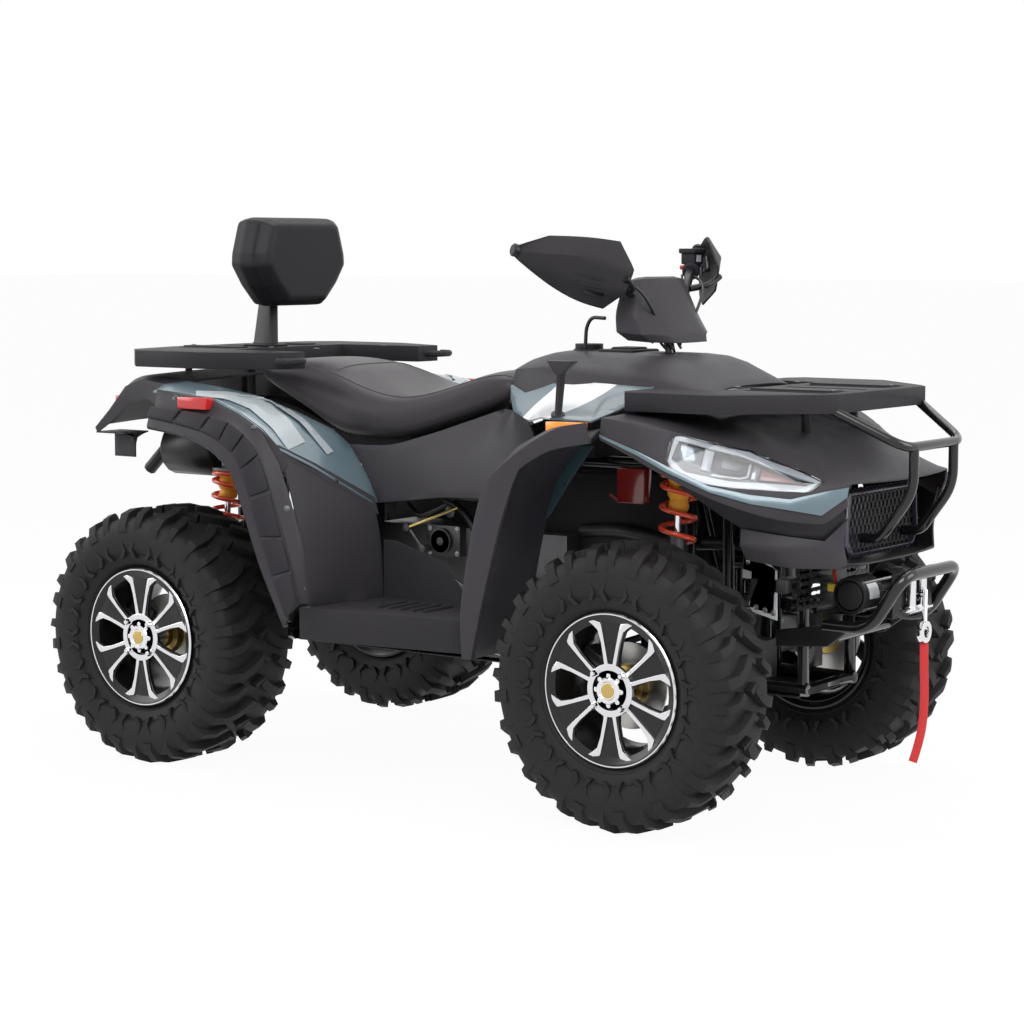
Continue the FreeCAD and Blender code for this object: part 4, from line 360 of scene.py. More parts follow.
whiteBand = ((0.86, 0.0, -0.51), -0.262, -0.118, (0.78, 0.79, 0.80))  # direction, from, to, colour
finishes = {
    "paint": finish("slatePaint", (0.115, 0.165, 0.19), second=(0.085, 0.13, 0.152), rough=0.3, metal=0.25, coat=0.7,
                    depth=0.03),
    "paintBand": finish("slatePaintBand", (0.115, 0.165, 0.19), second=(0.085, 0.13, 0.152), rough=0.3, metal=0.1,
                        coat=0.7, depth=0.03, band=whiteBand),
    "charcoal": finish("charcoalPlastic", (0.044, 0.0408, 0.0455), shine=0.16, rough=0.42, depth=0.16),
    # painted highlight: a light grey for the lighter bands that light draws along the rear body
    "white": finish("paintedHighlight", (0.36, 0.40, 0.42), rough=0.28, coat=0.6, depth=0.02, amount=0.2),
    "purple": finish("surroundPlastic", (0.026, 0.022, 0.040), rough=0.26, coat=0.3, depth=0.06),
    "black": finish("rackPlastic", (0.031, 0.0288, 0.0315), shine=0.1, rough=0.48, depth=0.2),
    "gloss": finish("tubePaint", (0.006, 0.006, 0.007), rough=0.2, coat=0.5, shine=0.3, depth=0.02, scale=300),
    "satin": finish("satinPaint", (0.010, 0.010, 0.011), shine=0.3, rough=0.36, depth=0.08),
    "rubber": finish("tyreRubber", (0.010, 0.0095, 0.0095), second=(0.021, 0.019, 0.018), shine=0.22, rough=0.62,
                     depth=0.35, scale=260, vary=5, amount=0.7),
    "rimBlack": finish("rimBlack", (0.005, 0.005, 0.006), rough=0.3, coat=0.2, shine=0.3, depth=0.01),
    "rimBright": finish("machinedFace", (0.80, 0.80, 0.82), rough=0.2, metal=1.0, height="brush", scale=90, depth=0.05),
    "chrome": finish("chrome", (0.86, 0.86, 0.88), rough=0.09, metal=1.0, depth=0.01),
    "steel": finish("groundSteel", (0.52, 0.51, 0.49), rough=0.3, metal=1.0, height="brush", scale=80, depth=0.12),
    "darkSteel": finish("darkSteel", (0.12, 0.12, 0.125), rough=0.38, metal=0.9, depth=0.15, scale=240),
    "gold": finish("goldHub", (0.62, 0.45, 0.16), rough=0.34, metal=1.0, depth=0.06, scale=200),
    "aluminium": finish("castAluminium", (0.13, 0.13, 0.135), second=(0.06, 0.06, 0.063), rough=0.42, metal=0.8,
                        depth=0.45, scale=320),
    "spring": finish("springPaint", (0.86, 0.075, 0.02), rough=0.28, coat=0.6, depth=0.03),
    "stop": finish("bumpStop", (0.92, 0.42, 0.03), rough=0.5, depth=0.2, scale=500),
    "seat": finish("seatVinyl", (0.038, 0.034, 0.0375), second=(0.050, 0.045, 0.049), shine=0.22, rough=0.36,
                   height="leather", scale=420, depth=0.09, vary=4),
    "pad": finish("padVinyl", (0.013, 0.012, 0.0145), shine=0.18, rough=0.42, height="leather", scale=460, depth=0.12,
                  vary=5),
    "lens": finish("clearLens", (0.80, 0.82, 0.85), rough=0.03, glass=1.0, depth=0.0, height=None, roughSwing=0.0,
                   amount=0.0),
    "bezel": finish("lampBezel", (0.60, 0.62, 0.64), rough=0.22, coat=0.5, depth=0.02),
    "lampDark": finish("lampHousing", (0.012, 0.0125, 0.014), rough=0.3, coat=0.2, shine=0.3, depth=0.05),
    "module": finish("lampModule", (0.22, 0.235, 0.25), rough=0.08, metal=0.7, depth=0.02),
    "amber": finish("amberLens", (0.95, 0.30, 0.01), second=(0.80, 0.20, 0.0), rough=0.22, coat=0.6, depth=0.2,
                    scale=140, glow=(0.9, 0.28, 0.01)),
    "red": finish("redLens", (0.40, 0.010, 0.010), second=(0.3, 0.008, 0.008), rough=0.2, coat=0.6, depth=0.2,
                  scale=140, glow=(0.5, 0.01, 0.01)),
    # painted shade: the slate body paint darkened to teal for the shaded inner sides
    "tealShade": finish("innerPaintShade", (0.020, 0.055, 0.066), rough=0.3, coat=0.4, depth=0.05),
    "redCover": finish("redCover", (0.26, 0.015, 0.012), second=(0.12, 0.008, 0.008), rough=0.18, coat=0.8, depth=0.02,
                       vary=30),
    "strap": finish("strapWeave", (0.60, 0.010, 0.010), rough=0.6, height="weave", scale=260, depth=0.5, sheen=0.3),
    "brass": finish("brassRod", (0.72, 0.55, 0.20), rough=0.28, metal=1.0, depth=0.03),
    "yellow": finish("connector", (0.85, 0.62, 0.05), rough=0.4, depth=0.05),
    "hose": finish("hoseRubber", (0.012, 0.012, 0.013), rough=0.42, depth=0.1, scale=300),
    "core": finish("radiatorCore", (0.10, 0.10, 0.105), rough=0.42, metal=0.7, depth=0.4, scale=500),
}
print("finishes ready")


def newPiece(name, bm):
    data = bpy.data.meshes.new(name)
    bm.to_mesh(data)
    bm.free()
    piece = bpy.data.objects.new(name, data)
    scene.collection.objects.link(piece)
    return piece


def taken(piece):  # a piece's mesh back for more work; the piece itself goes
    bm = bmesh.new()
    bm.from_mesh(piece.data)
    bpy.data.objects.remove(piece)
    return bm


def freeze(piece):  # its modifiers become plain mesh
    if piece.modifiers:
        seen = piece.evaluated_get(bpy.context.evaluated_depsgraph_get())
        data = bpy.data.meshes.new_from_object(seen)
        piece.modifiers.clear()
        piece.data = data
    return piece


def roundOff(piece, width, angle=40, segments=2):
    bevel = piece.modifiers.new("edges", "BEVEL")
    bevel.width = width
    bevel.segments = segments
    bevel.limit_method = "ANGLE"
    bevel.angle_limit = math.radians(angle)
    return piece


def soften(piece, levels=2):
    smooth = piece.modifiers.new("smooth", "SUBSURF")
    smooth.levels = levels
    smooth.render_levels = levels
    return piece


def thicken(piece, wall):  # a skin gets its wall on the inner side
    solid = piece.modifiers.new("wall", "SOLIDIFY")
    solid.thickness = wall
    solid.offset = -1
    return piece


def rounded(bm, width, segments=2):  # the same form with its edges rounded
    return taken(freeze(roundOff(newPiece("part", bm), width, 40, segments)))


def shade(piece, angle):
    data = piece.data
    data.polygons.foreach_set("use_smooth", [True] * len(data.polygons))
    data.set_sharp_from_angle(angle=math.radians(angle))
    return piece


made = set()


def settle(piece, look, node, stands=True, angle=38):  # finish, body, and whether it stands for its CAD node
    freeze(piece)
    shade(piece, angle)
    if look:
        piece.data.materials.clear()
        piece.data.materials.append(finishes[look])
    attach(piece, body_of(nodes[node])[0])
    if stands:
        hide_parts(node)
        made.add(node)
    return piece


def dress(name, bm, look, node, width=0, segments=2, angle=38):  # a piece that only adds to what its node shows
    piece = newPiece(name, bm)
    if width:
        roundOff(piece, width, 40, segments)
    return settle(piece, look, node, stands=False, angle=angle)


def merged(node):  # a joined copy of a CAD mesh, with its flats back as whole faces
    bm = bmesh.new()
    bm.from_mesh(nodes[node].data)
    bmesh.ops.remove_doubles(bm, verts=bm.verts, dist=0.00003)
    bmesh.ops.dissolve_limit(bm, angle_limit=math.radians(0.6), verts=bm.verts, edges=bm.edges,
                             use_dissolve_boundaries=False)
    return bm


def creased(bm, sharp):
    layer = bm.edges.layers.float.get("crease_edge") or bm.edges.layers.float.new("crease_edge")
    for edge in bm.edges:
        bend = 180 if len(edge.link_faces) != 2 else math.degrees(edge.calc_face_angle(0))
        if bend > sharp:
            edge[layer] = 1.0
        elif bend > sharp * 0.4:  # a soft feature line
            edge[layer] = 0.62 * (bend / sharp)


def refinePanel(node, look, sharp=42, width=0.0011, firm=False, name=None):  # a moulded panel as one smooth skin
    bm = merged(node)
    bmesh.ops.join_triangles(bm, faces=[f for f in bm.faces if len(f.verts) == 3],
                             angle_face_threshold=math.radians(38), angle_shape_threshold=math.radians(170),
                             cmp_seam=False, cmp_sharp=False, cmp_uvs=False, cmp_vcols=False, cmp_materials=False)
    creased(bm, sharp)
    if firm:  # its outline stays where its neighbours meet it
        hold = bm.verts.layers.float.new("crease_vert")
        for vert in bm.verts:
            if any(e.calc_face_angle(0) > math.radians(sharp) for e in vert.link_edges if len(e.link_faces) == 2):
                vert[hold] = 1.0
    piece = freeze(soften(newPiece(name or node + "Skin", bm)))
    return settle(roundOff(piece, width, 46), look, node)


def refineHard(node, look, width, angle=50):  # a machined or welded part with its edges broken
    piece = newPiece(node + "Part", merged(node))
    if width:
        roundOff(piece, width, 50)
    return settle(piece, look, node, angle=angle)


def shell(rings, ends=(1, 1), closed=False, strip=False):  # faces from ring to ring; one place is a tip
    bm = bmesh.new()
    rings = [[bm.verts.new(p) for p in ring] for ring in rings]
    for one, two in zip(rings, rings[1:] + rings[:1] if closed else rings[1:]):
        count = max(len(one), len(two))
        for k in range(0 if count == 1 else count - 1 if strip else count):
            m = (k + 1) % count
            if len(one) == 1:
                bm.faces.new((one[0], two[m], two[k]))
            elif len(two) == 1:
                bm.faces.new((one[k], one[m], two[0]))
            else:
                bm.faces.new((one[k], one[m], two[m], two[k]))
    if not closed:
        for ring, way in zip((rings[0], rings[-1]), ends):
            if len(ring) > 1:
                bm.faces.new(ring[::way])
    bmesh.ops.recalc_face_normals(bm, faces=bm.faces)
    return bm


def pour(bm, whole):  # adds one mesh to another
    data = bpy.data.meshes.new("part")
    bm.to_mesh(data)
    bm.free()
    whole.from_mesh(data)
    bpy.data.meshes.remove(data)


def joined(parts):
    whole = bmesh.new()
    for part in parts:
        pour(part, whole)
    return whole


def mirrorOf(bm):  # the other side of a left or right piece
    copy = bm.copy()
    for vert in copy.verts:
        vert.co.y = -vert.co.y
    bmesh.ops.reverse_faces(copy, faces=copy.faces)
    return copy


def both(bm):
    return joined([mirrorOf(bm), bm])


def faceSide(bm, mark):  # turns its faces to one side, as the sign of Y says
    if sum(f.normal.y for f in bm.faces) * mark < 0:
        bmesh.ops.reverse_faces(bm, faces=bm.faces)


def slab(outline, axis, start, end):  # a flat outline in millimetres pushed along one axis
    places = {"x": lambda d, u, v: (d, u, v), "y": lambda d, u, v: (u, d, v), "z": lambda d, u, v: (u, v, d)}
    return shell([[spot(places[axis](d, u, v)) for u, v in outline] for d in (start, end)], (-1, 1))


def block(x0, x1, y0, y1, z0, z1):
    return slab([(x0, y0), (x1, y0), (x1, y1), (x0, y1)], "z", z0, z1)


def curvePoints(points, corner, steps=6):  # a route in millimetres with its corners rounded
    route = [Vector(p) for p in points]
    if corner <= 0 or len(route) < 3:
        return route
    out = [route[0]]
    for before, at, after in zip(route, route[1:], route[2:]):
        back, ahead = (before - at), (after - at)
        reach = min(corner, back.length * 0.48, ahead.length * 0.48)
        a, b = at + back.normalized() * reach, at + ahead.normalized() * reach
        for i in range(steps + 1):
            t = i / steps
            out.append(a * (1 - t) ** 2 + at * 2 * t * (1 - t) + b * t ** 2)
    out.append(route[-1])
    return out


def sweep(points, radius, corner=30, sides=14, flatten=1.0):  # a round bar along a route
    route = curvePoints(points, corner)
    turns = [2 * math.pi * k / sides for k in range(sides)]
    side = (route[1] - route[0]).normalized().orthogonal().normalized()
    rings = []
    for i, at in enumerate(route):
        ahead = (route[min(i + 1, len(route) - 1)] - route[max(i - 1, 0)]).normalized()
        side = (side - ahead * side.dot(ahead)).normalized()
        up = ahead.cross(side)
        rings.append([spot(at + side * math.cos(a) * radius + up * math.sin(a) * radius * flatten) for a in turns])
    return shell(rings, (-1, 1))


def lathe(profile, start, way, sides=32, closed=False):  # (along, radius) in millimetres turned about an axis
    way = Vector(way).normalized()
    side = way.orthogonal().normalized()
    up = way.cross(side)
    turns = [2 * math.pi * k / sides for k in range(sides)]
    rings = []
    for along, size in profile:
        centre = Vector(start) + way * along
        ring = [centre + side * math.cos(a) * size + up * math.sin(a) * size for a in turns]
        rings.append([spot(p) for p in (ring if size > 0.01 else [centre])])
    return shell(rings, closed=closed)


def realTree(tree, start, end, spread, coated):  # what was spread becomes real mesh, with the finish given to the tree
    real = tree.nodes.new("GeometryNodeRealizeInstances")
    tree.links.new(spread.outputs["Instances"], real.inputs["Geometry"])
    if coated:
        coat = tree.nodes.new("GeometryNodeSetMaterial")
        tree.links.new(real.outputs["Geometry"], coat.inputs["Geometry"])
        tree.links.new(start.outputs["Finish"], coat.inputs["Material"])
        real = coat
    tree.links.new(real.outputs["Geometry"], end.inputs["Geometry"])
    return tree


def newTree(name, inputs):
    form = ("Geometry", "Geometry")
    return newGroup(name, [(*form, None)] + inputs, [form], "Geometry")


def ringTree():  # repeats the piece itself round an axle along Y
    tree, start, end = newTree("aroundAxle", [("Count", "Int", 12), ("Phase", "Float", 0.0)])
    line = tree.nodes.new("GeometryNodeMeshLine")
    line.inputs["Offset"].default_value = (0, 0, 0)
    tree.links.new(start.outputs["Count"], line.inputs["Count"])
    index = tree.nodes.new("GeometryNodeInputIndex")
    step = maths(tree, "DIVIDE", index.outputs[0], start.outputs["Count"])
    turn = maths(tree, "ADD", maths(tree, "MULTIPLY", step, 2 * math.pi), start.outputs["Phase"])
    axis = tree.nodes.new("ShaderNodeCombineXYZ")
    tree.links.new(turn, axis.inputs["Y"])
    spread = tree.nodes.new("GeometryNodeInstanceOnPoints")
    tree.links.new(line.outputs["Mesh"], spread.inputs["Points"])
    tree.links.new(start.outputs["Geometry"], spread.inputs["Instance"])
    tree.links.new(axis.outputs[0], spread.inputs["Rotation"])
    return realTree(tree, start, end, spread, False)


def placesTree():  # puts a stamp on each point of the piece, turned by the point's own angles
    tree, start, end = newTree("atPlaces", [("Stamp", "Object", None), ("Finish", "Material", None)])
    stamp = tree.nodes.new("GeometryNodeObjectInfo")
    tree.links.new(start.outputs["Stamp"], stamp.inputs["Object"])
    turn = tree.nodes.new("GeometryNodeInputNamedAttribute")
    turn.data_type = "FLOAT_VECTOR"
    turn.inputs["Name"].default_value = "turn"
    spread = tree.nodes.new("GeometryNodeInstanceOnPoints")
    tree.links.new(start.outputs["Geometry"], spread.inputs["Points"])
    tree.links.new(stamp.outputs["Geometry"], spread.inputs["Instance"])
    tree.links.new(turn.outputs["Attribute"], spread.inputs["Rotation"])
    return realTree(tree, start, end, spread, True)


trees = {"ring": ringTree(), "places": placesTree()}


def useTree(piece, name, **values):
    tree = trees[name]
    modifier = piece.modifiers.new(name, "NODES")
    modifier.node_group = tree
    for item in tree.interface.items_tree:
        if item.item_type == "SOCKET" and item.in_out == "INPUT" and item.name in values:
            modifier[item.identifier] = values[item.name]
    return freeze(piece)


def aroundAxle(bm, count, phase=0.0):
    return taken(useTree(newPiece("round", bm), "ring", Count=count, Phase=phase))


def atPlaces(name, bm, places, look):  # places are (point in metres, direction that the stamp's Z takes)
    stamp = newPiece(name + "Stamp", bm)
    data = bpy.data.meshes.new(name)
    data.from_pydata([p for p, way in places], [], [])
    turn = data.attributes.new("turn", "FLOAT_VECTOR", "POINT")
    turn.data.foreach_set("vector", [c for p, way in places for c in Vector(way).to_track_quat("Z", "Y").to_euler()])
    piece = bpy.data.objects.new(name, data)
    scene.collection.objects.link(piece)
    useTree(piece, "places", Stamp=stamp, Finish=finishes[look])
    bpy.data.objects.remove(stamp)
    return piece


def stampAll(name, bm, places, look, node, stands=False):
    return settle(atPlaces(name, bm, places, look), None, node, stands=stands)


def twice(point, way):  # a place in metres and its mirror on the far side, each with its direction
    return [(Vector((point[0], point[1] * s, point[2])), Vector((way[0], way[1] * s, way[2]))) for s in (1, -1)]


def screwStamp(radius=5.0, height=2.4):  # a flanged button screw with a recess, in metres about its own foot
    profile = [(0.0, 1.25), (0.12, 1.25), (0.16, 0.95), (0.75, 0.86), (1.0, 0.55), (1.0, 0.42), (0.45, 0.38),
               (0.42, 0.0)]
    turns = [math.pi * k / 6 for k in range(12)]
    rings = []
    for high, wide in profile:
        size, z = wide * radius / 1000, high * height / 1000
        rings.append([(math.cos(a) * size, math.sin(a) * size, z) for a in turns] if wide else [(0, 0, z)])
    return shell(rings, (-1, 1))


feelers = {}


def feeler(node):
    if node not in feelers:
        bm = bmesh.new()
        bm.from_mesh(nodes[node].data)
        feelers[node] = BVHTree.FromBMesh(bm)
        bm.free()
    return feelers[node]


def feel(node, point, way):  # where a line from a point in millimetres meets a CAD node: place and facing
    return feeler(node).ray_cast(spot(point), Vector(way).normalized())[:2]


def sight(u, v, names):  # what a pixel sees of these CAD nodes: nearest place and facing
    way = seenWay(u, v).normalized()
    best = None
    for node in names:
        place, facing, index, distance = feeler(node).ray_cast(spot(cameraView["place"]), way)
        if place and (best is None or distance < best[2]):
            best = (place, -facing if facing.dot(way) > 0 else facing, distance)
    return best[:2] if best else (None, None)


def onPlane(u, v, y):  # where a pixel's line of sight meets a plane of constant Y, in millimetres
    eye, way = Vector(cameraView["place"]), seenWay(u, v)
    return eye + way * ((y - eye.y) / way.y)


def sighted(name, pixels, names, node, look, radius):  # screws at pixels, and the same on the far side
    places = []
    for u, v in pixels:
        place, facing = sight(u, v, names)
        if place:
            places += twice(place, facing)
    return stampAll(name, screwStamp(radius), places, look, node)


def ribbon(name, top, low, look, node, lift, steps=14):  # a thin band on a panel between two rows of pixels
    def along(row, t):
        spread = t * (len(row) - 1)
        i = min(int(spread), len(row) - 2)
        f = spread - i
        return [row[i][k] * (1 - f) + row[i + 1][k] * f for k in (0, 1)]

    bm = bmesh.new()
    verts = []
    for i in range(steps + 1):
        a, b = along(top, i / steps), along(low, i / steps)
        verts.append([])
        for j in range(4):
            u, v = [a[k] * (1 - j / 3) + b[k] * j / 3 for k in (0, 1)]
            place, facing = sight(u, v, [node])
            verts[-1].append(bm.verts.new(place + facing * lift) if place else None)
    for one, two in zip(verts, verts[1:]):
        for j in range(3):
            corners = (one[j], two[j], two[j + 1], one[j + 1])
            if all(corners) and max((c.co - corners[0].co).length for c in corners) < 0.12:
                bm.faces.new(corners)
    for vert in [v for v in bm.verts if not v.link_faces]:
        bm.verts.remove(vert)
    bmesh.ops.recalc_face_normals(bm, faces=bm.faces)
    faceSide(bm, -1)
    return settle(thicken(newPiece(name, both(bm)), lift), look, node, stands=False)


print("helpers ready")


wheels = {"radius": 317.5, "tracks": (875, 925), "widths": (205, 255), "pitches": 16, "inset": 18, "starDepth": 5,
          "shaft": (-59.2, 28), "crown": 297.5, "top": 317.2}
treadBars = [  # width, then (share across, pitches round, share of height, share of width) along each bar
    (27, [(0.06, -0.20, 1.0, 0.9), (0.30, -0.02, 1.0, 1.0), (0.56, 0.10, 0.98, 1.05), (0.86, 0.14, 0.90, 1.15),
          (1.0, 0.15, 0.62, 1.2), (1.03, 0.15, 0.10, 1.0)]),
    (24, [(0.40, 0.36, 1.0, 0.8), (0.62, 0.52, 0.98, 0.95), (0.88, 0.60, 0.88, 1.0), (0.985, 0.61, 0.55, 0.95)]),
    (22, [(-0.10, 0.22, 0.95, 0.55), (0.14, 0.36, 0.95, 0.7)]),
]


def tyreProfile(half):  # (across, radius) of the carcass, outside then inside
    side = [(0.735, 153), (0.735, 172), (0.79, 178), (0.90, 196), (0.975, 222), (1.0, 248), (0.985, 268), (0.93, 284),
            (0.84, 293.5), (0.62, 297), (0.30, 298.4)]
    ring = [(half * y, r) for y, r in side]
    inner = [(half * 0.62, 163), (half * 0.86, 215), (half * 0.86, 258), (half * 0.55, 279)]
    return ring + [(-y, r) for y, r in reversed(ring)] + [(-y, r) for y, r in inner] + inner[::-1]


def lugRoot(across):  # foot radius and carcass radius at a share of the half width
    if across < 0.62:
        return 292, wheels["crown"]
    if across < 0.9:
        return 284, wheels["crown"] - (across - 0.62) * 36
    return 262, 287 - (across - 0.9) * 210


def lugBar(path, half, width):  # a tread bar; the path holds (share across, mm round, share of height, share of width)
    rows = []
    for i, (across, along, rise, wide) in enumerate(path):
        before, after = path[max(i - 1, 0)], path[min(i + 1, len(path) - 1)]
        way = Vector(((after[0] - before[0]) * half, after[1] - before[1])).normalized()
        edge = Vector((-way.y, way.x)) * width * wide / 2
        foot, skin = lugRoot(abs(across))
        row = []
        for share, radius in ((1.12, foot), (0.8, skin + rise * (wheels["top"] - wheels["crown"]))):
            for sign in (1, -1):
                y = min(max(across * half + edge.x * sign * share, -half - 1.5), half + 1.5)
                a = (along + edge.y * sign * share) / wheels["radius"]
                row.append((math.sin(a) * radius / 1000, y / 1000, -math.cos(a) * radius / 1000))
        rows.append([row[0], row[2], row[3], row[1]])
    return shell(rows, (1, -1), strip=True)


def onAxle(profile, mark=1, sides=72, closed=False):  # turned about the wheel's axle, in metres about its centre
    bm = lathe([(a * mark, r) for a, r in profile], (0, 0, 0), (0, 1, 0), sides, closed)
    bmesh.ops.translate(bm, verts=bm.verts, vec=(-midShift, 0, 0))
    return bm


def flatRing(points, low, high, mark):  # an outline in the wheel's own plane, low to high along its axle
    return shell([[(v / 1000, depth * mark / 1000, u / 1000) for u, v in points] for depth in (low, high)], (1, -1))


def makeTyre(node, centre, mark, half):
    count = wheels["pitches"]
    step = 2 * math.pi / count
    pitch = step * wheels["radius"]
    parts = [onAxle(tyreProfile(half), 1, 96, True)]
    for way in (1, -1):
        for width, path in treadBars:
            bar = lugBar([(a * way, s * pitch * mark, r, w) for a, s, r, w in path], half, width)
            parts.append(aroundAxle(bar, count, 0.0 if way > 0 else step / 2))
    for way in (1, -1):  # raised chevrons on the sidewall and two thin ribs beside them
        for turn, flip in ((0, 1), (0.5, -1)):
            chevron = [(197, -7), (199, 5), (216, 15), (239, 7), (239, -3), (217, 5)]
            outline = [(u, v * flip * way) for u, v in chevron]
            parts.append(aroundAxle(flatRing(outline, half * 0.86, half * 0.996, way), count, turn * step))
        for radius, wide, share in ((183, 1.6, 0.815), (206, 1.2, 0.935)):
            at = half * share
            parts.append(onAxle([(at - 2.4, radius - wide), (at + 1.2, radius - wide * 0.6),
                                 (at + 1.2, radius + wide * 0.6), (at - 2.4, radius + wide)], way, 96, True))
    whole = joined(parts)
    for vert in whole.verts:
        vert.co += centre
        vert.co.z = max(vert.co.z, 0.0002)  # on the ground, not in it
    settle(newPiece(node + "Tread", whole), "rubber", node, angle=34)


rimPlan = {  # outlines as (out from the hub, across), profiles as (along the axle from edge or face, radius)
    "spoke": [(40, -20), (40, 20), (74, 20), (104, 26), (129, 35), (140, 50), (152, 62), (153, 30), (153, -30),
              (152, -62), (140, -50), (129, -35), (104, -26), (74, -20)],
    "arm": [(52, 5), (52, 15), (74, 18.5), (104, 24.5), (129, 33), (138, 44), (147, 58), (150, 44), (147, 27),
            (141, 24), (124, 20), (98, 14.5), (72, 9)],
    "scallop": [(29, -6), (29, 6), (36, 5), (38.5, 0), (36, -5)],
    "outside": [(0, 163), (0.4, 168), (-2, 171), (-6, 171), (-8.4, 165), (-9, 152), (-40, 151), (-50, 140)],
    "back": [(40, 140), (26, 151), (9, 152), (8, 165), (6, 171), (1, 171), (0, 166), (14, 147), (42, 134)],
    "inside": [(-52, 134), (-30, 145), (-8, 147), (-2, 160)],
    "lip": [(-1.5, 164.5), (0.9, 165.5), (0.9, 168.0), (-1.5, 170.4)],
    "starRing": [(-6, 58), (2.6, 58), (3.2, 56), (3.2, 44), (-6, 42)],
    "cap": [(-4, 30), (9, 30), (12, 27.5), (12.6, 21), (10.5, 19), (10.5, 0)],
    "badge": [(9, 16), (12.0, 16), (12.4, 14.5), (12.4, 0)],
    "nut": [(-2, 9), (3, 9), (4, 7.2), (15, 7), (18, 5), (19, 0)],
    "hub": [(5, 50), (22, 46), (26, 34), (40, 32), (40, 0)], "disc": [(0, 96), (5, 96), (5, 46), (0, 46)],
}


def makeRim(node, centre, mark, half):
    t = rimPlan
    edge = half - wheels["inset"]
    face = edge - wheels["starDepth"]  # the star's plane

    def out(name, base=0, sides=72, closed=False):
        return onAxle([(base + a, r) for a, r in t[name]], mark, sides, closed)

    def around(outline, low, high, width, segments, count):
        return aroundAxle(rounded(flatRing(outline, face + low, face + high, mark), width, segments), count)

    barrel = [(edge + a, r) for a, r in t["outside"]] + [(a - edge, r) for a, r in t["back"]]
    wall = onAxle(barrel + [(edge + a, r) for a, r in t["inside"]], mark, 72, True)
    dark = around(t["spoke"], -16, -3, 0.0035, 3, 6)  # the dished plate with its six windows
    arms = [around([(u, v * sign) for u, v in t["arm"]], -8, 1.5, 0.0012, 2, 6) for sign in (1, -1)]
    start, thick = wheels["shaft"]
    shaft = onAxle([(start, thick), (face - 12, thick), (face - 12, 0)], mark, 32)
    nut = out("nut", face, 6)
    bmesh.ops.translate(nut, verts=nut.verts, vec=(0, 0, 0.0505))
    stack = [
        ("rimBlack", [wall, dark]),
        ("rimBright", [out("lip", edge, 96, True)] + arms + [out("starRing", face)]),
        ("chrome", [out("cap", face, 48), around(t["scallop"], 1, 8, 0.0014, 2, 8), aroundAxle(nut, 4, math.pi / 4)]),
        ("gold", [out("badge", face, 32), out("hub", 0, 40)]),
        ("steel", [out("disc", 0, 72, True), shaft]),
    ]
    whole = bmesh.new()
    for index, (look, parts) in enumerate(stack):
        bm = joined(parts)
        for flat in bm.faces:
            flat.material_index = index
        pour(bm, whole)
    bmesh.ops.translate(whole, verts=whole.verts, vec=centre)
    piece = newPiece(node + "Star", whole)
    for look, parts in stack:
        piece.data.materials.append(finishes[look])
    settle(piece, None, node, angle=32)


for place, axle, track, width in zip(("front", "rear"), (675, -675), wheels["tracks"], wheels["widths"]):
    for side, mark in (("left", 1), ("right", -1)):
        centre = spot((axle, track / 2 * mark, wheels["radius"]))
        makeTyre("tyre_%s_%s" % (place, side), centre, mark, width / 2)
        makeRim("rim_%s_%s" % (place, side), centre, mark, width / 2)
print("wheels ready")


noseTable = {
    "rear": 626, "length": 502, "half": 490, "base": 670, "height": 245,
    "stripLow": [(0.0, 0.998, 0.784), (0.175, 0.963, 0.629), (0.291, 0.922, 0.49), (0.458, 0.841, 0.318),
                 (0.608, 0.747, 0.22), (0.745, 0.663, 0.171), (0.857, 0.576, 0.122), (0.932, 0.486, 0.278)],
    "stripHigh": [(0.0, 0.998, 0.808), (0.179, 0.961, 0.665), (0.291, 0.914, 0.543), (0.45, 0.833, 0.376),
                  (0.598, 0.739, 0.302), (0.747, 0.649, 0.265), (0.869, 0.547, 0.335), (0.938, 0.482, 0.367)],
}
lampShape = {
    "outline": [(0.291, 0.833), (0.275, 0.592), (0.339, 0.441), (0.514, 0.355), (0.681, 0.335), (0.805, 0.318),
                (0.849, 0.408), (0.765, 0.473), (0.546, 0.678)],
    "deep": 16,
}


def nosePoint(x, y, z):
    t = noseTable
    return (t["rear"] + t["length"] * x, t["half"] * y, t["base"] + t["height"] * z)


def lampPoint(x, z, sink=0.0):  # on the lamp's face, sunk by so many millimetres, left side
    px, unused, pz = nosePoint(x, 0, z)
    for node in ("headlamps", "nose_fairing"):
        place, facing = feel(node, (px, 700, pz), (0, -1, 0))
        if place:
            break
    return Vector(((place.x - midShift) * 1000, place.y * 1000, place.z * 1000)) - facing * sink


def shrink(outline, share):
    x0, z0 = [sum(p[k] for p in outline) / len(outline) for k in (0, 1)]
    return [(x0 + (x - x0) * share, z0 + (z - z0) * share) for x, z in outline]


def patch(outline, near, far):  # a closed piece over an outline of the lamp, from one depth to another
    bm = bmesh.new()
    rings = [[bm.verts.new(spot(lampPoint(x, z, deep))) for x, z in outline] for deep in (near, far)]
    caps = [bm.faces.new(rings[0]), bm.faces.new(rings[1][::-1])]
    for i in range(len(outline)):
        k = (i + 1) % len(outline)
        bm.faces.new((rings[0][i], rings[0][k], rings[1][k], rings[1][i]))
    bmesh.ops.triangulate(bm, faces=caps)
    bmesh.ops.recalc_face_normals(bm, faces=bm.faces)
    return bm


def finer(outline, steps):  # more points along each run
    out = []
    for (x, z), (u, w) in zip(outline, outline[1:] + outline[:1]):
        out += [(x + (u - x) * i / steps, z + (w - z) * i / steps) for i in range(steps)]
    return out


def frameOf(outline, inner, near, far):  # a raised frame between two outlines of equal count
    loops = ((outline, far), (outline, near), (inner, near), (inner, far))
    return shell([[spot(lampPoint(x, z, deep)) for x, z in points] for points, deep in loops], closed=True)


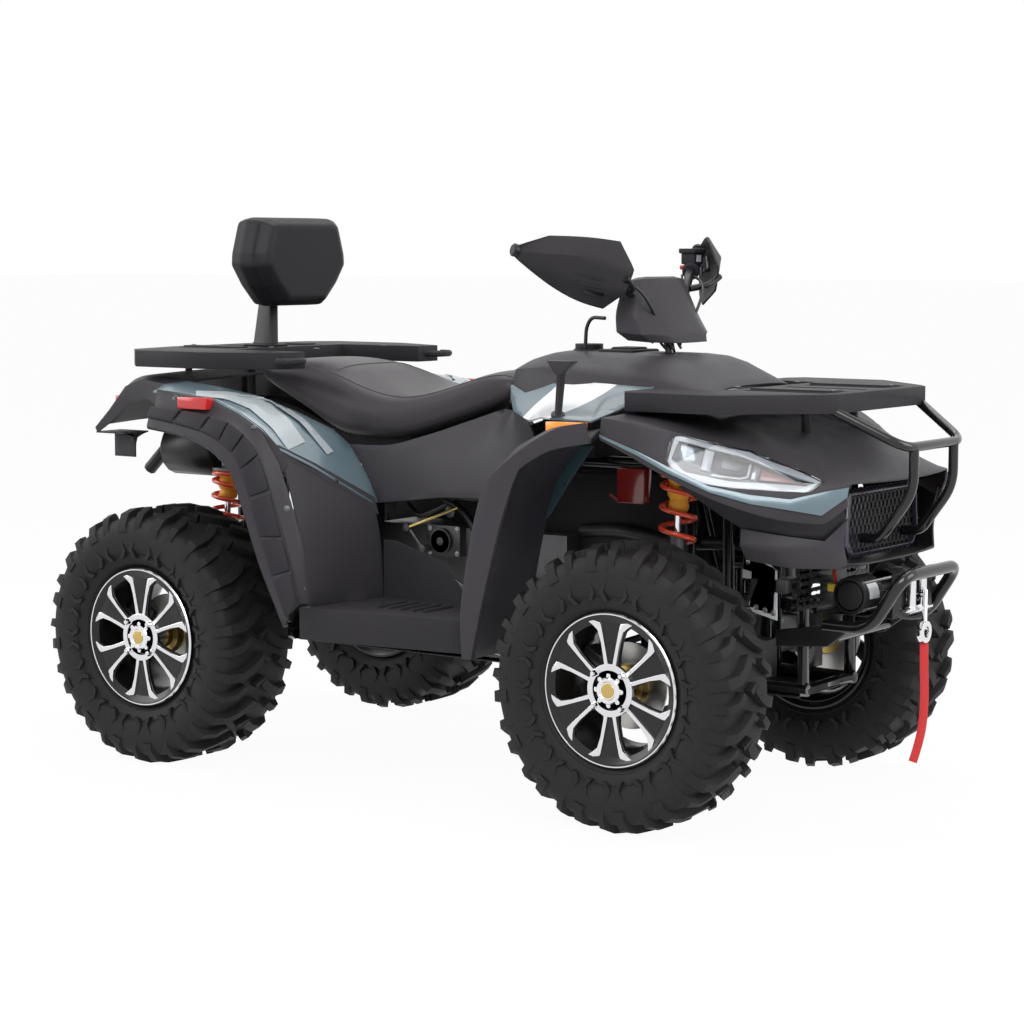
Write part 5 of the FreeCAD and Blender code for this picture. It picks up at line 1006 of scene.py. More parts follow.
lampEdge, trayEdge, wallEdge = [finer(shrink(lampShape["outline"], share), 4) for share in (0.985, 0.97, 0.95)]
settle(newPiece("lampTray", both(patch(trayEdge, lampShape["deep"], 30))), "lampDark", "headlamps")
dress("lampWalls", both(frameOf(lampEdge, wallEdge, 2.0, 28)), "lampDark", "headlamps")
bezelEdge = finer([(0.318, 0.765), (0.302, 0.612), (0.356, 0.500), (0.519, 0.418), (0.668, 0.400), (0.788, 0.378),
                   (0.812, 0.408), (0.752, 0.440), (0.540, 0.632)], 4)
dress("lampBezel", both(frameOf(lampEdge, bezelEdge, 3.0, 9.0)), "bezel", "headlamps", 0.0012)
modulePlan = [  # outline in shares, near and far depth, finish
    ([(0.330, 0.742), (0.322, 0.640), (0.362, 0.556), (0.404, 0.535), (0.408, 0.700)], 8, 16, "module"),
    ([(0.414, 0.696), (0.410, 0.522), (0.444, 0.505), (0.448, 0.676)], 5, 16, "bezel"),
    ([(0.456, 0.664), (0.452, 0.486), (0.548, 0.452), (0.572, 0.470), (0.574, 0.572)], 7, 16, "lampDark"),
    ([(0.480, 0.622), (0.478, 0.530), (0.532, 0.504), (0.548, 0.514), (0.550, 0.556)], 5, 9, "darkSteel"),
    ([(0.452, 0.486), (0.450, 0.466), (0.552, 0.432), (0.582, 0.450), (0.582, 0.560), (0.574, 0.566), (0.573, 0.468),
      (0.549, 0.450)], 4, 12, "bezel"),
    ([(0.590, 0.556), (0.588, 0.440), (0.612, 0.430), (0.614, 0.532)], 6, 16, "module"),
    ([(0.622, 0.526), (0.620, 0.436), (0.700, 0.424), (0.745, 0.424), (0.705, 0.468)], 9, 16, "redCover"),
]
for number, (outline, near, far, look) in enumerate(modulePlan):
    dress("lampPart%d" % number, both(patch(outline, near, far)), look, "headlamps", 0.001)
glass = merged("headlamps")
for face in [f for f in glass.faces if f.normal.y * (1 if f.calc_center_median().y > 0 else -1) < 0.12]:
    glass.faces.remove(face)
for edge in [e for e in glass.edges if not e.link_faces]:
    glass.edges.remove(edge)
for vert in [v for v in glass.verts if not v.link_faces]:
    glass.verts.remove(vert)
lens = thicken(newPiece("lampLens", glass), 0.0014)
settle(lens, "lens", "headlamps", stands=False, angle=30)
print("headlamps ready")


def bandBetween(low, high, lift, wall):  # a strip over the nose between two of its lines
    bm = bmesh.new()
    rows = [[Vector(nosePoint(*p)) for p in row] for row in (low, high)]
    outer, inner = [], []
    for i in range(len(low)):
        ahead = rows[0][min(i + 1, len(low) - 1)] - rows[0][max(i - 1, 0)]
        across = rows[1][i] - rows[0][i]
        facing = across.cross(ahead).normalized()
        if facing.y < 0:
            facing = -facing
        outer.append([bm.verts.new(spot(rows[k][i] + facing * lift)) for k in (0, 1)])
        inner.append([bm.verts.new(spot(rows[k][i] + facing * (lift - wall))) for k in (0, 1)])
    for i in range(len(low) - 1):
        bm.faces.new((outer[i][0], outer[i + 1][0], outer[i + 1][1], outer[i][1]))
        bm.faces.new((inner[i][0], inner[i][1], inner[i + 1][1], inner[i + 1][0]))
        bm.faces.new((outer[i][0], inner[i][0], inner[i + 1][0], outer[i + 1][0]))
        bm.faces.new((outer[i][1], outer[i + 1][1], inner[i + 1][1], inner[i][1]))
    for i in (0, len(low) - 1):
        bm.faces.new((outer[i][0], outer[i][1], inner[i][1], inner[i][0]))
    bmesh.ops.recalc_face_normals(bm, faces=bm.faces)
    return bm


band = bandBetween(noseTable["stripLow"], noseTable["stripHigh"], 3.2, 4.5)
dress("noseStrip", both(band), "paint", "nose_fairing", 0.0012)

grillePlan = {"x": 1046, "half": 176, "low": 598, "height": 142, "deep": 8, "pitch": 19, "wall": 3.4,
              "outline": [(-0.86, 0.0), (0.86, 0.0), (1.0, 0.2), (0.94, 1.0), (-0.94, 1.0), (-1.0, 0.2)]}


def insideOutline(y, z, outline):
    hit = False
    for (a, b), (c, d) in zip(outline, outline[1:] + outline[:1]):
        if (b > z) != (d > z) and y < (c - a) * (z - b) / (d - b) + a:
            hit = not hit
    return hit


def makeGrille():
    t = grillePlan
    x, middle = t["x"], t["low"] + t["height"] / 2
    outline = [(t["half"] * y, t["low"] + t["height"] * z) for y, z in t["outline"]]

    def drawn(wide, tall):  # the outline drawn in towards its middle
        return [(y * wide, middle + (z - middle) * tall) for y, z in outline]

    big, small = t["pitch"] / math.sqrt(3) * 1.02, (t["pitch"] - t["wall"]) / math.sqrt(3)
    turns = [math.pi * k / 3 for k in range(6)]
    loops = ((big, 0), (big, t["deep"]), (small, t["deep"] - 0.8), (small, 0))
    cell = shell([[(deep / 1000, math.sin(a) * radius / 1000, math.cos(a) * radius / 1000) for a in turns]
                  for radius, deep in loops], closed=True)
    places = []
    keep = drawn(0.965, 0.94)
    for i in range(-6, 7):
        for j in range(-11, 12):
            y, z = t["pitch"] * (j + (i % 2) / 2), middle + t["pitch"] * math.sqrt(3) / 2 * i
            if insideOutline(y, z, keep):
                places.append((spot((x, y, z)), (0, 0, 1)))
    stampAll("grilleCells", cell, places, "black", "grille", True)
    inner = drawn(0.93, 0.9)
    loops = ((outline, 0), (outline, 10), (inner, 14), (inner, 0))
    ring = shell([[spot((x + ahead, y, z)) for y, z in points] for points, ahead in loops], closed=True)
    dress("grilleRing", ring, "purple", "grille", 0.002)
    core = slab([(-160, 590), (160, 590), (160, 736), (-160, 736)], "x", x - 36, x - 4)
    settle(roundOff(newPiece("coreBlock", core), 0.003), "core", "radiator")
    fins = slab([(-150, -0.6), (150, -0.6), (150, 0.6), (-150, 0.6)], "x", 0, 2.2)
    bmesh.ops.translate(fins, verts=fins.verts, vec=(-midShift, 0, 0))
    rows = [(spot((x - 4, 0, 596 + 5.4 * i)), (0, 0, 1)) for i in range(25)]
    stampAll("coreFins", fins, rows, "darkSteel", "radiator")


makeGrille()
print("front ready")


seatPlan = {
    "rear": 662, "length": 812, "half": 222, "base": 797, "height": 196,
    "rows": [(0.0, 0.62, 0.76, 0.88), (0.05, 0.80, 0.70, 0.95), (0.14, 0.86, 0.50, 0.985), (0.23, 0.88, 0.32, 0.985),
             (0.36, 0.95, 0.03, 0.91), (0.43, 0.985, 0.0, 0.80), (0.50, 0.99, 0.0, 0.70), (0.62, 0.96, 0.01, 0.585),
             (0.75, 0.83, 0.18, 0.71), (0.89, 0.72, 0.38, 0.93), (0.97, 0.63, 0.55, 0.905), (1.0, 0.54, 0.62, 0.79)],
    "side": [(0.0, 0.0), (0.90, 0.0), (0.985, 0.30), (0.97, 0.62), (0.88, 0.86), (0.66, 0.96), (0.34, 1.0), (0.0, 1.0)],
    "pressure": 3.2, "voxel": 0.0066, "cap": 0.009, "heldBelow": 0.80,
}
padPlan = {"x": 669, "thick": 118, "half": 180, "low": 1119, "tall": 228, "pressure": 2.6, "voxel": 0.005, "cap": 0.007}


def ringsMesh(rows):  # closed rings in millimetres joined in order, capped at both ends
    return shell([[spot(p) for p in row] for row in rows])


def mirroredRow(right):  # a half outline from the middle and its other half
    return right + [(-y, z) for y, z in reversed(right[1:-1])]


clothPlan = {"quality": 5, "tension": 18, "bending": 2, "frames": 20}


def swell(piece, plan, steady):  # cloth filled by pressure, held where steady says so, and capped
    size = piece.modifiers.new("voxels", "REMESH")
    size.mode = "VOXEL"
    size.voxel_size = plan["voxel"]
    freeze(piece)
    start = [v.co.copy() for v in piece.data.vertices]
    group = piece.vertex_groups.new(name="held")
    for vert in piece.data.vertices:
        group.add([vert.index], steady(vert.co), "REPLACE")
    cloth = piece.modifiers.new("filling", "CLOTH")
    cloth.settings.use_pressure = True
    cloth.settings.uniform_pressure_force = plan["pressure"]
    cloth.settings.effector_weights.gravity = 0
    cloth.settings.vertex_group_mass = "held"
    cloth.settings.quality = clothPlan["quality"]
    cloth.settings.tension_stiffness = clothPlan["tension"]
    cloth.settings.bending_stiffness = clothPlan["bending"]
    cloth.point_cache.frame_start = 1
    cloth.point_cache.frame_end = clothPlan["frames"]
    for step in range(1, clothPlan["frames"] + 1):
        scene.frame_set(step)
    freeze(piece)
    scene.frame_set(1)
    for vert, old in zip(piece.data.vertices, start):
        move = vert.co - old
        if move.length > plan["cap"]:
            vert.co = old + move.normalized() * plan["cap"]
    return freeze(soften(piece, 1))


def smoothBy(piece, times):
    fair = piece.modifiers.new("fair", "SMOOTH")
    fair.factor = 0.5
    fair.iterations = times
    return freeze(piece)


def makeSeat():
    t = seatPlan
    rows = []
    for x, half, low, high in t["rows"]:
        base, rise = t["base"] + t["height"] * low, t["height"] * (high - low)
        right = [(t["half"] * half * y, base + rise * z) for y, z in t["side"]]
        rows.append([(-t["rear"] + t["length"] * x, y, z) for y, z in mirroredRow(right)])
    seat = freeze(soften(newPiece("seatCushion", ringsMesh(rows))))
    swell(seat, t, lambda co: 1.0 if co.z < t["heldBelow"] else 0.35)
    smoothBy(seat, 4)
    lowLimit = t["base"] / 1000
    for vert in seat.data.vertices:
        vert.co.z = max(vert.co.z, lowLimit)
    settle(seat, "seat", "seat", angle=60)
    # the welt round the rider's part and the seam behind it
    path = []
    for x, half, low, high in t["rows"][3:]:
        z = t["base"] + t["height"] * (low + (high - low) * 0.93)
        path.append((-t["rear"] + t["length"] * x, -t["half"] * half * 0.80, z))
    welts = [path, [(x, -y, z) for x, y, z in path]]
    back = (-t["rear"] + t["length"] * 0.335, t["base"] + t["height"] * 0.955)
    welts.append([(back[0], y, back[1]) for y in (-150, -90, -30, 30, 90, 150)])
    feeler = BVHTree.FromObject(seat, bpy.context.evaluated_depsgraph_get())
    seams = []
    for line in welts:
        route = []
        for p in curvePoints(line, 60, 5):
            near, facing, index, distance = feeler.ray_cast(spot((p.x, p.y, p.z + 120)), Vector((0, 0, -1)))
            if near:
                near = near - facing * 0.0006
                route.append(((near.x - midShift) * 1000, near.y * 1000, near.z * 1000))
        if len(route) > 3:
            seams.append(sweep(route, 2.4, 0, 8))
    dress("seatWelts", joined(seams), "seat", "seat")


def makeBackrest():
    t = padPlan
    front = -t["x"] - t["thick"] / 2
    outline = [(0.0, 0.0), (0.50, 0.0), (0.78, 0.22), (1.0, 0.46), (0.985, 0.60), (0.84, 0.965), (0.70, 1.0),
               (0.0, 1.0)]
    rows = []
    for x, scale in ((0.0, 0.90), (0.06, 0.96), (0.35, 1.0), (0.72, 0.98), (0.94, 0.86), (1.0, 0.78)):
        right = [(t["half"] * y * scale, t["low"] + t["tall"] * (0.5 + (z - 0.5) * scale)) for y, z in outline]
        rows.append([(front + t["thick"] * x, y, z) for y, z in mirroredRow(right)])
    pad = freeze(roundOff(newPiece("backrestCushion", ringsMesh(rows)), 0.010, 32, 3))
    swell(pad, t, lambda co: 0.4)
    smoothBy(pad, 3)
    settle(pad, "pad", "backrest_pad", angle=60)
    panels = []
    face = front + t["thick"]
    sideForm = [(0.14, 0.10), (0.40, 0.10), (0.74, 0.40), (0.66, 0.90), (0.20, 0.92)]
    middleForm = [(-0.10, 0.08), (0.10, 0.08), (0.12, 0.93), (-0.12, 0.93)]
    for outline, lift, sign in ((sideForm, 9, 1), (sideForm, 9, -1), (middleForm, 5, 1)):
        points = [(t["half"] * y * 0.86 * sign, t["low"] + t["tall"] * (0.5 + (z - 0.5) * 0.86)) for y, z in outline]
        panels.append(rounded(slab(points, "x", face - 14, face + lift - 10), 0.008, 4))
    raised = dress("backrestPanels", joined(panels), "pad", "backrest_pad", angle=60)


makeSeat()
makeBackrest()
print("seat and backrest ready")


barPlan = {
    "points": [(482, 0, 1112), (482, 62, 1112), (452, 150, 1196), (350, 350, 1252)], "radius": 11, "corner": 30,
    "grip": (118, 16), "switch": (52, 21),
}


def makeBars():
    t = barPlan
    pts = [Vector(p) for p in t["points"]]
    end, inner = pts[-1], pts[-2]
    way = (inner - end).normalized()
    whole = [(x, -y, z) for x, y, z in reversed(pts[1:])] + pts[1:]
    settle(newPiece("bar", sweep(whole, t["radius"], t["corner"], 20)), "satin", "handlebar")
    length, thick = t["grip"]
    profile = [(0, 0), (0, thick + 2.5), (4, thick + 2.5), (6, thick)]
    for i in range(14):
        a = 8 + i * (length - 18) / 14
        profile += [(a, thick), (a + 1.4, thick - 1.4), (a + 4.2, thick - 1.4), (a + 5.6, thick)]
    profile += [(length - 6, thick), (length - 5, thick + 3), (length, thick + 3), (length, 0)]
    grips = lathe(profile, end, way, 28)
    start = end + way * (length + 0.5)
    span, wide = t["switch"]
    pods = lathe([(0, 0), (0, wide - 3), (3, wide), (span * 0.48, wide), (span * 0.5, wide - 1.5), (span * 0.52, wide),
                  (span - 3, wide), (span, wide - 3), (span, 0)], start, way, 26)
    root = start + way * (span / 2)
    tip = end + way * (length / 4) + Vector((34, 0, 0))
    lever = [tuple(root + Vector((6, 0, -4))), tuple(root + Vector((30, 0, -4))), tuple(root + Vector((36, 22, -2))),
             tuple(tip)]
    levers = joined([sweep(lever, 5.2, 16, 12, 0.7),
                     lathe([(-9, 0), (-9, 6), (9, 6), (9, 0)], root + Vector((26, 0, -4)), (0, 0, 1), 18)])
    for bm, look, name in ((grips, "rubber", "grips"), (pods, "black", "switchPods"), (levers, "darkSteel", "levers")):
        dress(name, both(bm), look, "handlebar", angle=40)

    def box(x0, x1, y0, y1, z0, z1):  # a block about the switch pod's root, as a slab along X
        y0, y1, z0, z1 = root.y + y0, root.y + y1, root.z + z0, root.z + z1
        return slab([(y0, z0), (y1, z0), (y1, z1), (y0, z1)], "x", root.x + x0, root.x + x1)

    fluid = joined([box(-18, 20, -20, 22, 12, 40), box(-22, 24, -25, 27, 38, 50)])
    dress("fluidBox", fluid, "black", "handlebar", 0.003, 3)
    button = lathe([(0, 6), (7, 6), (9, 4.4), (9, 0)], root + Vector((-20, -4, 4)), (-1, 0, 0.1), 20)
    dress("stopButton", button, "red", "handlebar")
    dress("barePlate", box(20, 20.8, -10, 10, 18, 34), "bezel", "handlebar")
    cables = []
    for sign in (1, -1):
        brake = [(root.x + 8, (root.y - 30) * sign, root.z - 10), (500, 150 * sign, 1186), (512, 92 * sign, 1118),
                 (500, 46 * sign, 1062), (508, 24 * sign, 1042)]
        throttle = [(root.x - 6, (root.y - 34) * sign, root.z - 14), (452, 128 * sign, 1150), (454, 70 * sign, 1090),
                    (470, 34 * sign, 1048)]
        cables += [sweep(brake, 3.6, 50, 10), sweep(throttle, 3.0, 50, 10)]
    dress("controlCables", joined(cables), "hose", "handlebar")


def makeGuards():
    refinePanel("hand_guards", "black", 40, name="handGuards")
    rows = [((574, 272), (606, 279)), ((577, 281), (605, 287)), ((584, 290), (604, 294))]
    for number, (left, right) in enumerate(rows):
        under = [(left[0] + 1, left[1] + 3.2), (right[0], right[1] + 2.6)]
        ribbon("guardSlot%d" % number, [left, right], under, "rimBlack", "hand_guards", 0.0007, 6)
    ends = []
    for sign in (1, -1):
        a = Vector((350, 350 * sign, 1252))
        out = Vector((-102, 200 * sign, 56)).normalized()
        ends.append(lathe([(38, 0), (38, 13), (41, 15), (50, 15), (53, 12), (53, 0)], a, out, 24))
        ends.append(sweep([(470, 128 * sign, 1172), (500, 166 * sign, 1180), (505, 205 * sign, 1200)], 8, 20, 12))
    dress("guardMounts", joined(ends), "satin", "hand_guards")


def makePod():
    refinePanel("handlebar_pod", "charcoal", 34, 0.0014)
    back = slab([(-54, 1128), (54, 1128), (60, 1178), (-60, 1178)], "x", 432, 446)
    dress("dialBack", back, "black", "handlebar_pod", 0.004, 3)
    glass = slab([(-44, 1134), (44, 1134), (48, 1172), (-48, 1172)], "x", 430.5, 432.6)
    dress("dialGlass", glass, "lampDark", "handlebar_pod", 0.0008)
    clamp = joined([block(462, 500, -36, -14, 1098, 1130), block(462, 500, 14, 36, 1098, 1130),
                    block(452, 512, -44, 44, 1066, 1094)])
    dress("barClamps", clamp, "darkSteel", "steering_stem", 0.004, 3)
    wires = []
    for x, y, z, u in ((470, -18, 1096, 12), (480, 4, 1094, -8), (490, 20, 1096, 6), (500, -30, 1090, 4)):
        route = [(x, y, z), (x + 6, y + u, 1070), (x + 16, y - u, 1050), (x + 22, y + u / 2, 1034)]
        wires.append(sweep(route, 3.2, 16, 8))
    dress("loomWires", joined(wires), "hose", "steering_stem")


makeBars()
makeGuards()
makePod()
cap = lathe([(0, 0), (0, 38), (5, 38), (7, 34), (15, 33), (17, 30), (17, 0)], (268, 0, 1022), (0, 0, 1), 48)
dress("fuelCap", cap, "black", "tank_cover")
print("handlebar ready")


springPlan = {"ends": [((675, 262, 441.2), (675, 238, 789.8)), ((-675, 262, 442.7), (-675, 238, 719.9))], "low": 0.22,
              "high": 0.94, "radius": 38, "wire": 6.0, "turns": 6.5}


def helix(start, end, radius, wire, turns, steps=22):
    way = (end - start).normalized()
    side = way.orthogonal().normalized()
    up = way.cross(side)
    length = (end - start).length
    count = int(turns * steps)
    points = []
    for i in range(count + 1):
        t = i / count
        share = min(max((t * turns - 0.75) / (turns - 1.5), 0), 1)  # the end turns lie flat
        a = 2 * math.pi * turns * t
        along = wire + (length - 2 * wire) * share + 0.6 * wire * (t - share)
        points.append(start + way * along + (side * math.cos(a) + up * math.sin(a)) * radius)
    return sweep(points, wire, 0, 9)


shockPlan = {  # (share of the length, radius) from the lower eye
    "body": [(0.20, 21), (0.20, 36), (0.205, 44), (0.22, 44), (0.225, 36), (0.225, 21), (0.55, 21), (0.553, 18),
             (0.553, 0)],
    "cup": [(0.94, 0), (0.94, 43), (0.965, 43), (0.975, 30), (0.975, 0)],
    "rod": [(0.5, 8), (0.97, 8), (0.97, 0), (0.5, 0)],
    "stop": [(0.93, 0), (0.93, 24), (0.90, 26), (0.87, 22), (0.84, 26), (0.80, 26), (0.77, 20), (0.73, 24), (0.70, 22),
             (0.68, 12), (0.68, 0)],
}


def makeShocks():
    t = springPlan
    coils, dark, bright, gold = [], [], [], []
    for low, high in t["ends"]:
        low, high = Vector(low), Vector(high)
        way = high - low
        seatLow, seatHigh = low + way * t["low"], low + way * t["high"]
        coils.append(helix(seatLow, seatHigh, t["radius"], t["wire"], t["turns"]))
        for end in (low, high):
            dark.append(lathe([(-14, 9), (-14, 14), (14, 14), (14, 9)], end, (1, 0, 0), 28, closed=True))
            bright.append(lathe([(-17, 0), (-17, 8), (17, 8), (17, 0)], end, (1, 0, 0), 20))

        def turned(name, sides, foot=()):
            return lathe([*foot] + [(way.length * a, r) for a, r in shockPlan[name]], low, way.normalized(), sides)

        dark += [turned("body", 32, [(10, 0), (10, 15), (16, 21)]), turned("cup", 32)]
        bright.append(turned("rod", 20))
        gold.append(turned("stop", 28))
    settle(newPiece("coils", both(joined(coils))), "spring", "springs", angle=44)
    settle(newPiece("dampers", both(joined(dark))), "darkSteel", "shocks", angle=44)
    dress("damperRods", both(joined(bright)), "chrome", "shocks", angle=44)
    dress("bumpStops", both(joined(gold)), "stop", "shocks", angle=44)


makeShocks()
print("shocks ready")


rearArch = {
    "centre": -675, "radius": 317.5,
    "pad": [(0.129, 2.784), (0.491, 2.765), (0.803, 2.728), (0.976, 2.674), (1.15, 2.545), (1.276, 2.324),
            (1.408, 1.934), (1.509, 1.654), (1.584, 1.389)],
    "bead": [(0.164, 2.715), (0.469, 2.674), (0.772, 2.614), (0.951, 2.529), (1.071, 2.425), (1.162, 2.243),
             (1.269, 1.931), (1.398, 1.613), (1.54, 1.285)],
    "lip": [(0.17, 2.643), (0.491, 2.602), (0.775, 2.52), (0.945, 2.413), (1.039, 2.315), (1.099, 2.173),
            (1.184, 1.953), (1.31, 1.644), (1.528, 1.225)],
    "gap": 0.05, "lift": 7,
}
frontArch = {
    "centre": 675, "radius": 317.5,
    "lip": [(-1.184, 1.102), (-1.115, 1.414), (-0.967, 1.969), (-0.876, 2.252), (-0.769, 2.488), (-0.51, 2.639),
            (-0.183, 2.693)],
}


def archLine(t, shares, y):
    return [Vector((t["centre"] + t["radius"] * x, y, t["radius"] * z)) for x, z in shares]


def curveAt(line, t):  # a smooth line through its points, t from 0 to the last index
    i = min(int(t), len(line) - 2)
    f = t - i
    p0, p1, p2, p3 = line[max(i - 1, 0)], line[i], line[i + 1], line[min(i + 2, len(line) - 1)]
    bend, twist = 2 * p0 - 5 * p1 + 4 * p2 - p3, 3 * p1 - p0 - 3 * p2 + p3
    return 0.5 * ((2 * p1) + (p2 - p0) * f + bend * f * f + twist * f ** 3)


def makeFlarePads():
    t = rearArch
    pads = []
    inner = archLine(t, t["pad"], 561)
    outer = archLine(t, t["bead"], 587)
    last = len(inner) - 1
    count = 9
    for k in range(count):
        a, b = last * (k + t["gap"]) / count, last * (k + 1 - t["gap"]) / count
        rings = []
        for s in (a, (a + b) / 2, b):
            p, q = curveAt(inner, s), curveAt(outer, s)
            ahead = (curveAt(inner, min(s + 0.1, last)) - curveAt(inner, max(s - 0.1, 0))).normalized()
            facing = ahead.cross(q - p).normalized()
            if facing.z < 0 and abs(facing.z) > abs(facing.x) or facing.x < 0 and abs(facing.x) >= abs(facing.z):
                facing = -facing
            row = []
            for base, lift in ((p, -8), (p, t["lift"] * 0.6), (p.lerp(q, 0.25), t["lift"]), (p.lerp(q, 0.8), t["lift"]),
                               (q, t["lift"] * 0.4), (q, -8)):
                at = base + facing * lift
                at.y = min(at.y, 591)
                row.append(tuple(at))
            rings.append(row)
        pads.append(ringsMesh(rings))
    piece = roundOff(newPiece("flarePads", both(joined(pads))), 0.0024, 30, 3)
    settle(piece, "black", "rear_fenders", stands=False)
    fine = [curveAt(archLine(t, t["lip"], 584), last * i / 40) for i in range(41)]
    beads = [sweep(fine, 7, 0, 12)]
    front = archLine(frontArch, frontArch["lip"], 513)
    beads.append(sweep([curveAt(front, (len(front) - 1) * i / 36) for i in range(37)], 6.5, 0, 12))
    dress("archBeads", both(joined(beads)), "black", "rear_fenders", angle=60)


def makeLiners():
    pixels = [(519, 508), (531, 478), (547, 456), (572, 447), (594, 446), (571, 480), (552, 512), (540, 526)]
    corners = [onPlane(u, v, -294) for u, v in pixels]
    liner = both(mirrorOf(slab([(p.x, p.z) for p in corners], "y", -296, -291)))
    # the liners carry the darkened copy of the body paint, which is painted shade
    dress("innerLiners", liner, "tealShade", "front_fenders", 0.0012)
    heads = []
    for u, v in ((524, 504), (542, 521)):
        heads += twice(spot(onPlane(u, v, -297)), (0, -1, 0))
    stampAll("linerScrews", screwStamp(5.5), heads, "darkSteel", "front_fenders")


makeFlarePads()
makeLiners()
screwPixels = [(175, 397.6), (254, 427), (304.8, 464), (336, 481), (286.8, 508.4), (303.6, 588.8), (372, 505),
               (546.8, 462.4), (252, 470), (578, 458)]
seenPanels = ["rear_fenders", "side_panels", "front_fenders", "seat_covers", "footwell_walls"]
sighted("panelScrews", screwPixels, seenPanels, "rear_fenders", "darkSteel", 5.5)
# the two light bands along the rear side panels are a painted highlight in the white finish
ribbon("bodyBand", [(196, 391), (232, 392), (262, 400), (288, 418), (305, 442)],
       [(196, 396), (226, 399), (250, 409), (272, 428), (288, 450)], "white", "side_panels", 0.0012)
ribbon("bodyLine", [(232, 394), (270, 398), (305, 420), (333, 452)],
       [(232, 395.6), (268, 400.5), (301, 423), (327, 455)], "white", "side_panels", 0.0012)
print("panel trim ready")

barRoutes = {
    "guard": [(1034, 206, 922), (1179, 137, 841), (1179, -137, 841), (1034, -206, 922)],
    "drop": [(1179, 96, 841), (1179, 96, 742), (1100, 96, 636), (1054.3, 96, 636)],
    "bumper": [(985, 132, 440), (1098, 132, 440), (1177, 132, 562), (1177, -132, 562), (1098, -132, 440),
               (985, -132, 440)],
    "guardRadius": 11, "bumperRadius": 14,
}


def makeGuardBars():
    t = barRoutes
    parts = [sweep(t["guard"], t["guardRadius"] - 0.2, 42, 20)]
    for sign in (1, -1):
        parts.append(sweep([(x, y * sign, z) for x, y, z in t["drop"]], t["guardRadius"], 40, 20))
    settle(newPiece("frontGuard", joined(parts)), "gloss", "brush_guard", angle=60)
    hoop = [sweep(t["bumper"], t["bumperRadius"] - 0.2, 44, 22),
            sweep([(1005, -122, 416), (1005, 122, 416)], 14, 0, 18)]
    settle(newPiece("bumperHoop", joined(hoop)), "gloss", "front_bumper", angle=60)
    form = [(0.0, 0.0), (0.75, 0.16), (1.0, 0.66), (1.0, 1.0), (0.0, 0.56)]
    outline = [(866 + 174 * a, 383 + 66 * b) for a, b in form]
    dress("bumperPlates", both(slab(outline, "y", 122.8, 138.8)), "satin", "front_bumper", 0.0025, 3)


def makeWinch():
    x, z = 1040, 508
    centre, along = (x, 0, z), (0, 1, 0)
    motor = [(-118, 0), (-118, 34), (-114, 38), (-112, 42), (-96, 42), (-95, 40.5), (-93, 40.5), (-92, 42), (-58, 42),
             (-57, 40), (-54, 40), (-53, 42), (-40, 42), (-38, 40), (-38, 0)]
    gear = [(38, 0), (38, 40), (40, 42), (64, 42), (66, 38), (70, 38), (72, 42), (100, 42), (112, 40), (118, 34),
            (118, 0)]
    rope = [(-38, 14)]
    for i in range(13):
        a = -36 + i * 5.7
        rope += [(a, 22), (a + 1.4, 24.6), (a + 2.8, 25.4), (a + 4.2, 24.6)]
    rope += [(38, 22), (38, 14)]
    dress("winchEnds", joined([lathe(profile, centre, along, 48) for profile in (motor, gear)]), "black", "winch")
    dress("winchRope", lathe(rope, centre, along, 36), "steel", "winch")
    refineHard("winch", "satin", 0.0014, 40)
    face = lathe([(-118.6, 0), (-118.6, 30), (-117, 33), (-112, 33), (-112, 0)], centre, along, 40)
    dress("winchCap", both(face), "rubber", "winch")
    bars = []
    for dx, dz in ((30, 30), (-30, 30), (30, -30)):
        bars.append(sweep([(x + dx, -112, z + dz), (x + dx, 112, z + dz)], 4, 0, 10))
    dress("winchTies", joined(bars), "steel", "winch")
    label = []
    for k in range(7):
        a = math.radians(-8 + k * 8)
        label.append((x + math.cos(a) * 42.7, z + math.sin(a) * 42.7))
    inner = [(x + (u - x) * 0.97, z + (w - z) * 0.97) for u, w in reversed(label)]
    dress("winchPlate", slab(label + inner, "y", -104, -60), "bezel", "winch", angle=60)
    leads = {"Red": ("strap", [(-44, -96, 18), (-50, -98, 40), (-60, -80, 62), (-90, -70, 90)]),
             "Yellow": ("yellow", [(-46, -84, 14), (-56, -84, 34), (-70, -70, 52), (-100, -60, 84)])}
    for name, (look, route) in leads.items():
        lead = sweep([(x + u, y, z + w) for u, y, w in route], 4.5, 18, 10)
        dress("winchLead" + name, lead, look, "winch")
    plugs = [block(x - 64, x - 40, -106, -88, z + 4, z + 22), block(x - 62, x - 42, -86, -72, z + 2, z + 18)]
    dress("winchPlugs", joined(plugs), "yellow", "winch", 0.003, 3)


def makeRollers():
    parts = []
    tall = [(0, 4), (0, 9.6), (3, 10), (70, 10), (73, 9.6), (73, 4)]
    wide = [(0, 4), (0, 8), (2, 8.4), (84, 8.4), (86, 8), (86, 4)]
    for y in (26, -26):
        parts.append(lathe(tall, (1143.3, y, 476), (0, 0, 1), 28))
    for z in (472, 546):
        parts.append(lathe(wide, (1143.3, -43, z + 4), (0, 1, 0), 28))
    dress("rollers", joined(parts), "chrome", "fairlead")
    refineHard("fairlead", "chrome", 0.0012, 40)
    refineHard("winch_hook", "chrome", 0.0016)


makeGuardBars()
makeWinch()
makeRollers()
lampSkin = refineHard("marker_lamps", "amber", 0.002, 40)
lampSkin.data.materials.append(finishes["red"])
for face in lampSkin.data.polygons:
    face.material_index = 0 if face.center.x > 0.2 else 1
print("bars, winch and markers ready")


